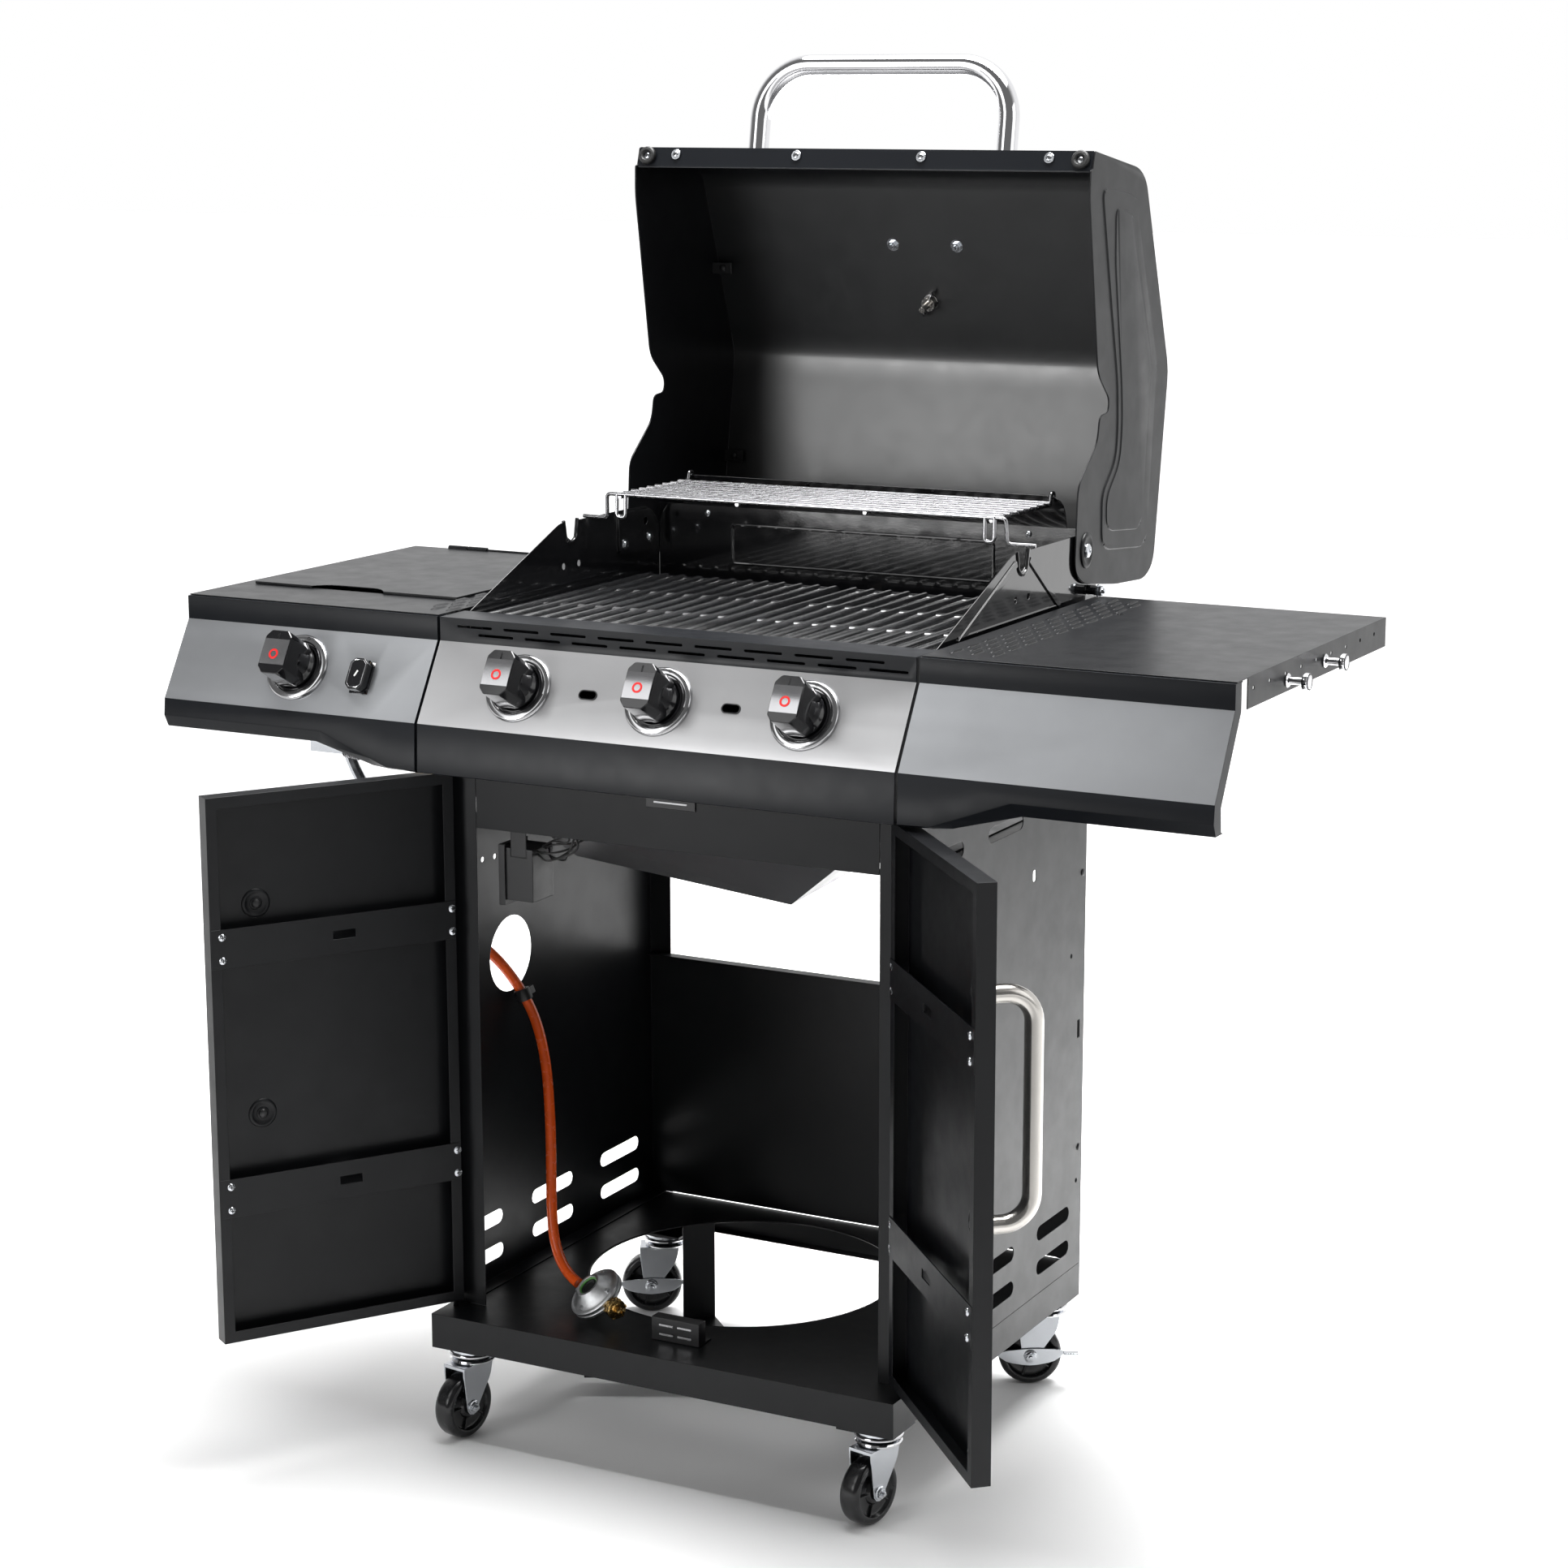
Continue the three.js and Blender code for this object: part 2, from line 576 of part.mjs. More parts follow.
// A corrugated heat plate that spreads the flames under one grate.
function emitter(left, right) {
  const [low, rise, skin] = [924.3, 11, 1.6];
  const count = Math.floor((right - left) / (GRATE.pitch / 2));
  const crest = (i) => [left + ((right - left) * i) / count, low + (i % 2 ? rise : 0)];
  const line = Array.from({ length: count + 1 }, (_, i) => crest(i));
  const top = line.map(([x, z]) => v2(x, z + skin)).reverse();
  return prism("y", [...line.map(([x, z]) => v2(x, z)), ...top], FIREBOX.front + 12, 436);
}

function burner(x) {
  const z = MANIFOLD.z;
  const pipe = join(rod("y", 12.5, x, z, 46, 445, 10), box(x - 9, x + 9, 440, 487.6, z - 1, z + 1));
  return cut(pipe, rod("y", 9.5, x, z, 40, 120, 8));
}

// A grate: rounded bars front to back on four cross ribs.
function grate(firstBar, bars) {
  const { top, pitch, half, front, back, ribs } = GRATE;
  const section = [[-half, -11], [half, -11], [half - 1, -3.5], [0, 0], [-half + 1, -3.5]];
  const pieces = [];
  for (let i = 0; i < bars; i++) {
    const x = firstBar + i * pitch;
    pieces.push(prism("y", section.map(([dx, dz]) => v2(x + dx, top + dz)), front, back));
  }
  const last = firstBar + (bars - 1) * pitch;
  for (const y of ribs) pieces.push(box(firstBar - 4, last + 4, y - 3, y + 3, 945.5, top - 7));
  return join(...pieces);
}

function warmingRack() {
  const { z, front, pitch, rods, half, wire } = RACK;
  const pieces = [];
  for (let i = 0; i < rods; i++) pieces.push(rod("x", wire, front + i * pitch, z, -half, half, 4));
  const back = front + (rods - 1) * pitch;
  const brow = FIREBOX.brow + wire + GAP;
  for (const x of [-half + 6, -84, 84, half - 6]) {
    pieces.push(rod("y", wire, x, z - 3.4, front - 1, back + 16, 4));
  }
  for (const x of [-half + 6, half - 6]) {
    const over = back + 23.6;
    const hookTop = 1085.8;
    const hook = [v3(x, back + 13, z - 3.4), v3(x, back + 16, hookTop), v3(x, over, hookTop), v3(x, over, 1078)];
    pieces.push(tube(hook, wire, 4));
    const side = Math.sign(x);
    const arm = [
      v3(side * (half - 2), front, z), v3(side * (half + 12), front, z), v3(side * (half + 13), front + 2, brow),
      v3(side * (FIREBOX.outer + 1.2), front + 4, brow),
    ];
    pieces.push(tube(arm, wire, 4));
    const loop = [
      v3(side * (half - 14), front, z), v3(side * (half - 14), front - 1, brow + 2),
      v3(side * (half - 2), front - 1, brow + 2), v3(side * (half - 2), front, z),
    ];
    pieces.push(tube(loop, wire, 4));
  }
  return join(...pieces);
}

// A hopper that slides out backwards on two rails; its lowest corner is to the right of the middle.
function greaseTray() {
  const rim = TRAY.rail + GAP;
  const { half, front, back } = TRAY;
  const mouth = { left: -254, right: 178, front: 96, back: 444 };
  const hopper = (grow, lift) =>
    new ConvexGeometry([
      ...[mouth.left - grow, mouth.right + grow].flatMap((x) =>
        [mouth.front - grow, mouth.back + grow].map((y) => v3(x, y, rim + SHEET + lift)),
      ),
      v3(-216 - grow, 150 - grow, 667 + lift),
      v3(70 + grow, 150 - grow, 640 + lift),
      v3(70 + grow, 390 + grow, 655 + lift),
      v3(-216 - grow, 390 + grow, 682 + lift),
    ]);
  return cut(join(box(-half, half, front, back, rim, rim + SHEET), hopper(0, 0)), hopper(-SHEET, SHEET));
}

// ---------------------------------------------------------------- shelves
function shelfFrame() {
  const { top, inner, outer, back } = SHELF;
  return [
    box(inner, outer, 3, back, top - SHEET, top),
    box(outer - SHEET, outer, 34, back, 935, top),
    box(inner, outer, back - SHEET, back, 938, top),
    box(inner, inner + SHEET, 60, back, 920, top),
  ];
}

function shelfRight() {
  const peg = (y, z) => [rod("x", 4, y, z, SHELF.outer - 1, 674, 8), rod("x", 9, y, z, 673, 680, 12)];
  const hanger = rod("z", 5, 379.5, 359, SHELF.top - 4, SHELF.top + 2, 8);
  return cut(join(...shelfFrame(), ...peg(151.7, 947), ...peg(269.6, 949.8)), hanger);
}

function shelfLeft() {
  const { left, right, front, back, floor } = PAN;
  const { hinge } = BURNER_LID;
  const top = SHELF.top;
  const pan = box(left - SHEET, right + SHEET, front - SHEET, back + SHEET, floor, top);
  const deck = join(...shelfFrame().map(mirrored), pan);
  const barrel = (x) => join(
    rod("x", 3.5, hinge.y, hinge.z, x, x + 28, 10),
    box(x, x + 28, hinge.y - 2, hinge.y + 2, top - 0.5, hinge.z),
  );
  return cut(
    join(deck, barrel(-558), barrel(-449)),
    box(left, right, front, back, floor + SHEET, top + 1),
    rod("z", 17, (left + right) / 2, 277, floor - 2, floor + 3, 14),
    rod("x", 1.8, hinge.y, hinge.z, -570, -410, 8),
  );
}

function sideBurnerHead() {
  const x = (PAN.left + PAN.right) / 2;
  const z = 893;
  const profile = [[0, 884], [16.5, 884], [16.5, 921.5], [34, 925], [38, 930], [38, 938], [30, 942], [0, 944]];
  const cap = turned(profile, 16);
  return cut(join(cap.translate(x, 277, 0), rod("y", 11, x, z, 66, 282, 10)), rod("y", 8, x, z, 60, 120, 8));
}

function sideBurnerGrate() {
  const { left, right, front, back, floor } = PAN;
  const [low, high, bar] = [947, 955, 3.5];
  const [x, y] = [(left + right) / 2, 277];
  const foot = floor + SHEET + GAP;
  const pieces = [turned([[58, low], [65, low], [65, high], [58, high], [58, low]], 16).translate(x, y, 0)];
  for (const dx of [-45, 45]) pieces.push(box(x + dx - bar, x + dx + bar, front + 3, back - 3, low, high));
  for (const dy of [-45, 45]) pieces.push(box(left + 3, right - 3, y + dy - bar, y + dy + bar, low, high));
  for (const dx of [-45, 45]) {
    for (const end of [front + 6, back - 6]) pieces.push(box(x + dx - bar, x + dx + bar, end - 3, end + 3, foot, low + 1));
  }
  return join(...pieces);
}

function sideBurnerLid() {
  const { left, right, front, back, hinge } = BURNER_LID;
  const [low, top] = [SHELF.top + GAP, 971.6];
  const plate = cut(
    box(left, right, front, back, low, top),
    box(left + SHEET, right - SHEET, front + SHEET, back - SHEET, low - 1, top - SHEET),
  );
  const bay = [[-556, front - 5], [-444, front - 5], [-462, front + 17, 14], [-538, front + 17, 14]];
  const notch = prism("z", outline(bay), low - 1, top + 1);
  const barrel = (x) => join(
    rod("x", 3.5, hinge.y, hinge.z, x, x + 28, 10),
    box(x, x + 28, back - 3, hinge.y, top - SHEET, top),
  );
  const pin = rod("x", 1.5, hinge.y, hinge.z, -588, -392, 8);
  return join(cut(plate, notch), barrel(-588), barrel(-420), pin);
}

// ---------------------------------------------------------------- lid, standing open
const LID_BACK = [
  [460, 1479.6], [592, 1458], [613, 1444], [692, 1224], [693, 1206], [658, 984.5], [630, 970], [541, 975], [497, 980],
];
const FACE_RUN = v2(LID_BACK[1][0] - LID_BACK[0][0], LID_BACK[1][1] - LID_BACK[0][1]).normalize();
const GAUGE = { y: 667.8, z: 1291.5, tilt: Math.atan2(-220, 79) };

// Puts a piece modelled along +Z through the lid's sloping panel, pointing out of it.
const onPanel = (geometry) => geometry.rotateX(GAUGE.tilt).translate(-5, GAUGE.y, GAUGE.z);

function lidSkin() {
  const shell = prism("x", bentSheet(LID_BACK, -SHEET), -LID.half, LID.half);
  return cut(shell, onPanel(rod("z", 6.5, 0, 0, -6, 6)));
}

function lidCap() {
  const edge = outline([
    [451, 1460], [457.5, 1481.2], [592.6, 1459.4, 10], [614.5, 1444.6, 10], [693.4, 1224.4, 8], [694.4, 1206, 8],
    [659.4, 983.6, 16], [630, 968.6, 14], [541, 973.6, 10], [445, 986, 10], [417, 1002, 14], [424, 1102, 12],
    [479, 1148, 10], [485, 1178, 6], [510, 1180, 7], [512, 1196, 7], [477, 1227, 10], [445, 1426, 10], [446, 1460],
  ]);
  const { y, z } = LID.pivot;
  return join(
    prism("x", edge, LID.cap, LID.cap + SHEET, 3),
    rod("x", 4, y, z, 288, LID.cap + 0.5, 8),
    rod("x", 7, y, z, LID.cap + 0.5, LID.cap + 4, 12),
  );
}

// The trim that closes the lid's free edge.
function lidFrontStrip() {
  const thickness = 1.4;
  const face = bentSheet([[449.6, 1457.5], [457.4, 1481.4]], -thickness);
  const lip = bentSheet([[460, 1457.2], [449.6, 1457.2]], -thickness);
  return join(...[face, lip].map((section) => prism("x", section, -LID.half, LID.half)));
}

function lidHandle() {
  const { half, tube: radius, bend, reach, foot } = LID_HANDLE;
  const root = v2(...LID_BACK[0]).addScaledVector(FACE_RUN, foot);
  const outward = v2(-FACE_RUN.y, FACE_RUN.x);
  const point = (across, up) => v3(across, root.x + outward.x * up, root.y + outward.y * up);
  return tube(bail(half, 0.3, reach, bend, point), radius, 10);
}

// Dial outside, stem and nut inside.
function lidThermometer() {
  const stem = [[0, -30], [4, -30], [4, -12], [9, -12], [9, -2], [4.5, -2], [4.5, 0.4]];
  const dial = [[36, 0.4], [38, 3], [38, 10], [34, 13], [0, 13]];
  return onPanel(turned([...stem, ...dial], 18));
}

// ---------------------------------------------------------------- doors, in their own frame
// x runs from the hinge to the free edge, -y is the outside, z is height.
function door() {
  const { bottom, top, depth, hingeEdge, freeEdge } = DOOR;
  const half = depth / 2;
  const shell = cut(
    box(hingeEdge, freeEdge, -half, half, bottom, top),
    box(hingeEdge + SHEET, freeEdge - SHEET, -half + SHEET, half - SHEET, bottom + SHEET, top - SHEET),
    box(hingeEdge + DOOR_FRAME, freeEdge - DOOR_FRAME, 0, half + 1, bottom + DOOR_FRAME, top - DOOR_FRAME),
  );
  const straps = DOOR_STRAPS.map((z) =>
    cut(
      box(hingeEdge + 1, freeEdge - 1, half - 0.4, half + 1, z - 22.5, z + 22.5),
      box(117, 144, half - 2, half + 3, z - 5, z + 5),
    ),
  );
  return cut(
    join(shell, ...straps),
    rod("z", 3.6, 0, 0, bottom - 2, bottom + 4, 8),
    rod("z", 3.6, 0, 0, top - 4, top + 2, 8),
  );
}

function doorHandle() {
  const { along, low, high, tube: radius, reach, bend } = DOOR_HANDLE;
  const middle = (low + high) / 2;
  const point = (up, out) => v3(along, -DOOR.depth / 2 - out, middle + up);
  return tube(bail((high - low) / 2, 0.3, reach, bend, point, 5), radius, 8);
}

// ---------------------------------------------------------------- casters, in their own frame
// The swivel axis is z and the wheel trails along +x.
function casterFork(braked) {
  const { trail, wheel, leg } = CASTER;
  const leaf = outline([[-17, 89], [33, 89], [33, 78, 6], [trail + 10, wheel], [trail - 10, wheel], [-15, 72, 8]]);
  const nut = braked ? 19 : 16;
  const pieces = [
    turned([[0, 84], [16, 84], [16, 96], [25.5, 97], [25.5, 105.6], [0, 105.6]], 14),
    box(-17, 33, -leg - 2, leg + 2, 85, 89),
    rod("y", 4, trail, wheel, -leg - 5, nut + 4.5, 8),
    rod("y", 6.5, trail, wheel, nut, nut + 4, 6),
    rod("y", 6.5, trail, wheel, -leg - 6, -leg - 1, 6),
  ];
  for (const side of [-1, 1]) {
    const [y0, y1] = [side * leg, side * (leg + 2)].sort((a, b) => a - b);
    pieces.push(prism("y", leaf, y0, y1, 2), rod("y", 10, trail, wheel, y0, y1, 10));
  }
  return join(...pieces);
}

function casterWheel() {
  const { trail, wheel, width } = CASTER;
  const half = width / 2;
  const rim = [
    [4.5, -half], [13, -half], [17, 5 - half], [26, 5 - half], [30, -half], [34.5, -half], [wheel, 5 - half],
    [wheel, half - 5], [34.5, half], [30, half], [26, half - 5], [17, half - 5], [13, half], [4.5, half], [4.5, -half],
  ];
  return turned(rim, 18).rotateX(Math.PI / 2).translate(trail, 0, wheel);
}

// A rocking foot lever on the axle, outside the leg.
function casterBrake() {
  const { trail, wheel, leg } = CASTER;
  const boat = outline([
    [-44, 6, 3], [-30, -7, 8], [0, -13, 10], [30, -8, 8], [43, 3, 3], [30, 7, 5], [0, 10, 10], [-30, 9, 5],
  ]);
  const y = leg + 2 + GAP;
  const plate = prism("y", boat, y, y + 2, 2);
  const tab = box(-58, -40, y, y + 10, 4, 6.2);
  return cut(join(plate, tab), rod("y", 4.7, 0, 0, y - 2, y + 4, 8)).translate(trail, 0, wheel);
}

// ---------------------------------------------------------------- assembly
place("base_shelf", LOOKS.powder, baseShelf());
place("side_panel_left", LOOKS.powder, mirrored(sidePanel(leftHoles())));
place("side_panel_right", LOOKS.powder, sidePanel(rightHoles()));
place("header_beam", LOOKS.powder, headerBeam());
place("rear_panel", LOOKS.powder, rearPanel());
place("bottle_cradle", LOOKS.powder, bottleCradle());
place("lower_door_catch", LOOKS.plastic, lowerDoorCatch());

place("console_left", LOOKS.graphite, consoleLeft());
place("console_center", LOOKS.silver, consoleCenter());
place("console_right", LOOKS.graphite, consoleSide());
for (const [where, x] of Object.entries(KNOB_XS)) {
  place("valve_stem_" + where, LOOKS.zinc, onSlant(valveStem(), x));
  place("knob_" + where, LOOKS.knob, onSlant(knob(), x));
}
place("igniter_button", LOOKS.plastic, onSlant(igniterButton(), IGNITER.x, IGNITER.z));

place("gas_manifold", LOOKS.zinc, gasManifold());
place("ignition_module", LOOKS.plastic, ignitionModule());
place("gas_hose", LOOKS.hose, gasHose());
place("regulator", LOOKS.aluminium, regulator());

place("firebox_wall_left", LOOKS.porcelain, mirrored(fireboxWall()));
place("firebox_wall_right", LOOKS.porcelain, fireboxWall());
place("firebox_trough", LOOKS.porcelain, fireboxTrough());
place("emitter_left", LOOKS.castIron, emitter(-290, -17));
place("emitter_right", LOOKS.castIron, emitter(-8, 290));
for (const where of ["left", "middle", "right"]) place("burner_" + where, LOOKS.stainless, burner(KNOB_XS[where]));
place("grate_left", LOOKS.castIron, grate(-284.4, 12));
place("grate_right", LOOKS.castIron, grate(1.4, 13));
place("warming_rack", LOOKS.zinc, warmingRack());
place("grease_tray", LOOKS.powder, greaseTray());

place("shelf_right", LOOKS.powder, shelfRight());
place("shelf_left", LOOKS.powder, shelfLeft());
place("side_burner_head", LOOKS.brass, sideBurnerHead());
place("side_burner_grate", LOOKS.castIron, sideBurnerGrate());
place("side_burner_lid", LOOKS.powder, sideBurnerLid());

place("lid_skin", LOOKS.powder, lidSkin());
place("lid_cap_left", LOOKS.powder, mirrored(lidCap()));
place("lid_cap_right", LOOKS.powder, lidCap());
place("lid_front_strip", LOOKS.graphite, lidFrontStrip());
place("lid_handle", LOOKS.chrome, lidHandle());
place("lid_thermometer", LOOKS.stainless, lidThermometer());

for (const [side, sign] of [["left", -1], ["right", 1]]) {
  const hinge = new THREE.Group();
  hinge.position.set(sign * DOOR.x, DOOR.y, 0);
  hinge.rotation.z = degrees(DOOR_OPEN[side]);
  assembly.add(hinge);
  const handed = (geometry) => (sign < 0 ? geometry : mirrored(geometry));
  place("door_" + side, LOOKS.powder, handed(door()), hinge);
  place("door_handle_" + side, LOOKS.stainless, handed(doorHandle()), hinge);
}

// Each caster: name, side, place along y, direction of its trail in degrees, and whether it has a brake.
const CASTERS = [
  ["front_left", -1, CASTER.front, -99, false],
  ["front_right", 1, CASTER.front, -102, false],
  ["rear_left", -1, CASTER.back, 208, true],
  ["rear_right", 1, CASTER.back, 208, true],
];
for (const [where, side, y, heading, braked] of CASTERS) {
  const swivel = new THREE.Group();
  swivel.position.set(side * CASTER.x, y, 0);
  swivel.rotation.z = degrees(heading);
  assembly.add(swivel);
  place("caster_fork_" + where, LOOKS.zinc, casterFork(braked), swivel);
  place("caster_wheel_" + where, LOOKS.wheel, casterWheel(), swivel);
  if (braked) place("caster_brake_" + where, LOOKS.zinc, casterBrake(), swivel);
}

export default assembly;
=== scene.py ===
import math
import random

import bmesh
import bpy
from mathutils import Matrix, Vector


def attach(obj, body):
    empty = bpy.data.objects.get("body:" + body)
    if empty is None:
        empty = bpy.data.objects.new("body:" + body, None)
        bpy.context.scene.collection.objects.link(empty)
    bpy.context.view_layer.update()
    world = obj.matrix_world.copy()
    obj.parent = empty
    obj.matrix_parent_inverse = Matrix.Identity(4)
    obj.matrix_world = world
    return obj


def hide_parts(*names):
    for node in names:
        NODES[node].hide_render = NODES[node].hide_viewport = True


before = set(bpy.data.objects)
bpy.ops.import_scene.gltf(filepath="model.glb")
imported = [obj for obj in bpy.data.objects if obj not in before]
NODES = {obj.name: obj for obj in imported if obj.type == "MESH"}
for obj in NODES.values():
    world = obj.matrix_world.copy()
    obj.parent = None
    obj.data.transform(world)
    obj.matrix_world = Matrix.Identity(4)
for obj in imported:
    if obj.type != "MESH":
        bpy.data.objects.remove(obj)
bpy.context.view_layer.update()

# Lengths below are millimetres measured from the cart's front centre, as in the CAD source.
MM = 0.001
ORIGIN = Vector((12.5, 216.3, 0))
TO_FRAME = Matrix.Scale(MM, 4) @ Matrix.Translation(-ORIGIN)


def at(x, y, z):
    """A place on the cart, in the frame's metres."""
    return TO_FRAME @ Vector((x, y, z))


def placed(name, data):
    """A new object in the scene."""
    thing = bpy.data.objects.new(name, data)
    bpy.context.scene.collection.objects.link(thing)
    return thing


# ---------------------------------------------------------------- camera
CAMERA = {"place": (1.8159, -3.3899, 1.5601), "azimuth": 28.0, "down": 11.71, "roll": -0.104, "lens": 77.9,
          "sensor": 36}


def make_camera():
    data = bpy.data.cameras.new("camera")
    data.lens = CAMERA["lens"]
    data.sensor_width = CAMERA["sensor"]
    camera = placed("camera", data)
    turn = Matrix.Rotation(math.radians(CAMERA["azimuth"]), 4, "Z")
    tip = Matrix.Rotation(math.radians(90 - CAMERA["down"]), 4, "X")
    roll = Matrix.Rotation(math.radians(CAMERA["roll"]), 4, "Z")
    camera.matrix_world = Matrix.Translation(CAMERA["place"]) @ turn @ tip @ roll
    bpy.context.scene.camera = camera


make_camera()


# ---------------------------------------------------------------- materials
class Nodes:
    """A material's node tree, built up a node at a time."""

    def __init__(self, name):
        self.material = bpy.data.materials.new(name)
        self.material.use_nodes = True
        self.tree = self.material.node_tree
        self.shader = self.tree.nodes["Principled BSDF"]
        self.place = self.add("ShaderNodeTexCoord").outputs["Object"]

    def add(self, kind, **values):
        node = self.tree.nodes.new(kind)
        for key, value in values.items():
            if key in node.inputs:
                node.inputs[key].default_value = value
            else:
                setattr(node, key, value)
        return node

    def link(self, source, target):
        self.tree.links.new(source, target)

    def noise(self, scale, detail=3.0, stretch=None, roughness=0.55):
        node = self.add("ShaderNodeTexNoise", Scale=scale, Detail=detail, Roughness=roughness)
        source = self.place
        if stretch:
            mapping = self.add("ShaderNodeMapping", Scale=stretch)
            self.link(source, mapping.inputs["Vector"])
            source = mapping.outputs["Vector"]
        self.link(source, node.inputs["Vector"])
        return node.outputs["Fac"]

    def spread(self, source, low, high, from_low=0.3, from_high=0.7):
        node = self.add("ShaderNodeMapRange")
        for key, value in (("From Min", from_low), ("From Max", from_high), ("To Min", low),
                           ("To Max", high)):
            node.inputs[key].default_value = value
        self.link(source, node.inputs["Value"])
        return node.outputs["Result"]

    def blend(self, factor, a, b):
        node = self.add("ShaderNodeMix", data_type="RGBA")
        for socket in node.inputs:
            if socket.name in ("A", "B") and socket.type == "RGBA":
                socket.default_value = (*(a if socket.name == "A" else b), 1)
        self.link(factor, node.inputs[0])
        return next(s for s in node.outputs if s.type == "RGBA")


def surface(name, color, rough, metal=0.0, tone=0.12, tone_scale=9, grain=900, depth=0.00012, strength=0.35,
            stretch=None, rough_spread=0.06, coat=0.0, coat_rough=0.08, wave=None, ior=1.5, sheen=0.0):
    """A finish with slow colour drift, patchy gloss and a fine bumpy grain."""
    n = Nodes(name)
    n.shader.inputs["Metallic"].default_value = metal
    n.shader.inputs["Coat Weight"].default_value = coat
    n.shader.inputs["Coat Roughness"].default_value = coat_rough
    n.shader.inputs["IOR"].default_value = ior
    n.shader.inputs["Sheen Weight"].default_value = sheen
    light = [min(1, c * (1 + tone)) for c in color]
    dark = [c * (1 - tone) for c in color]
    drift = n.noise(tone_scale, 4)
    n.link(n.blend(n.spread(drift, 0, 1), dark, light), n.shader.inputs["Base Color"])
    patches = n.noise(tone_scale * 3.7, 5, stretch)
    n.link(n.spread(patches, max(0.02, rough - rough_spread), rough + rough_spread),
           n.shader.inputs["Roughness"])
    bump = n.add("ShaderNodeBump", Strength=strength, Distance=depth)
    n.link(n.noise(grain, 2, stretch), bump.inputs["Height"])
    if wave:
        broad = n.add("ShaderNodeBump", Strength=wave[1], Distance=wave[2])
        n.link(n.noise(wave[0], 2), broad.inputs["Height"])
        n.link(broad.outputs["Normal"], bump.inputs["Normal"])
    n.link(bump.outputs["Normal"], n.shader.inputs["Normal"])
    return n.material


LOOKS = {}
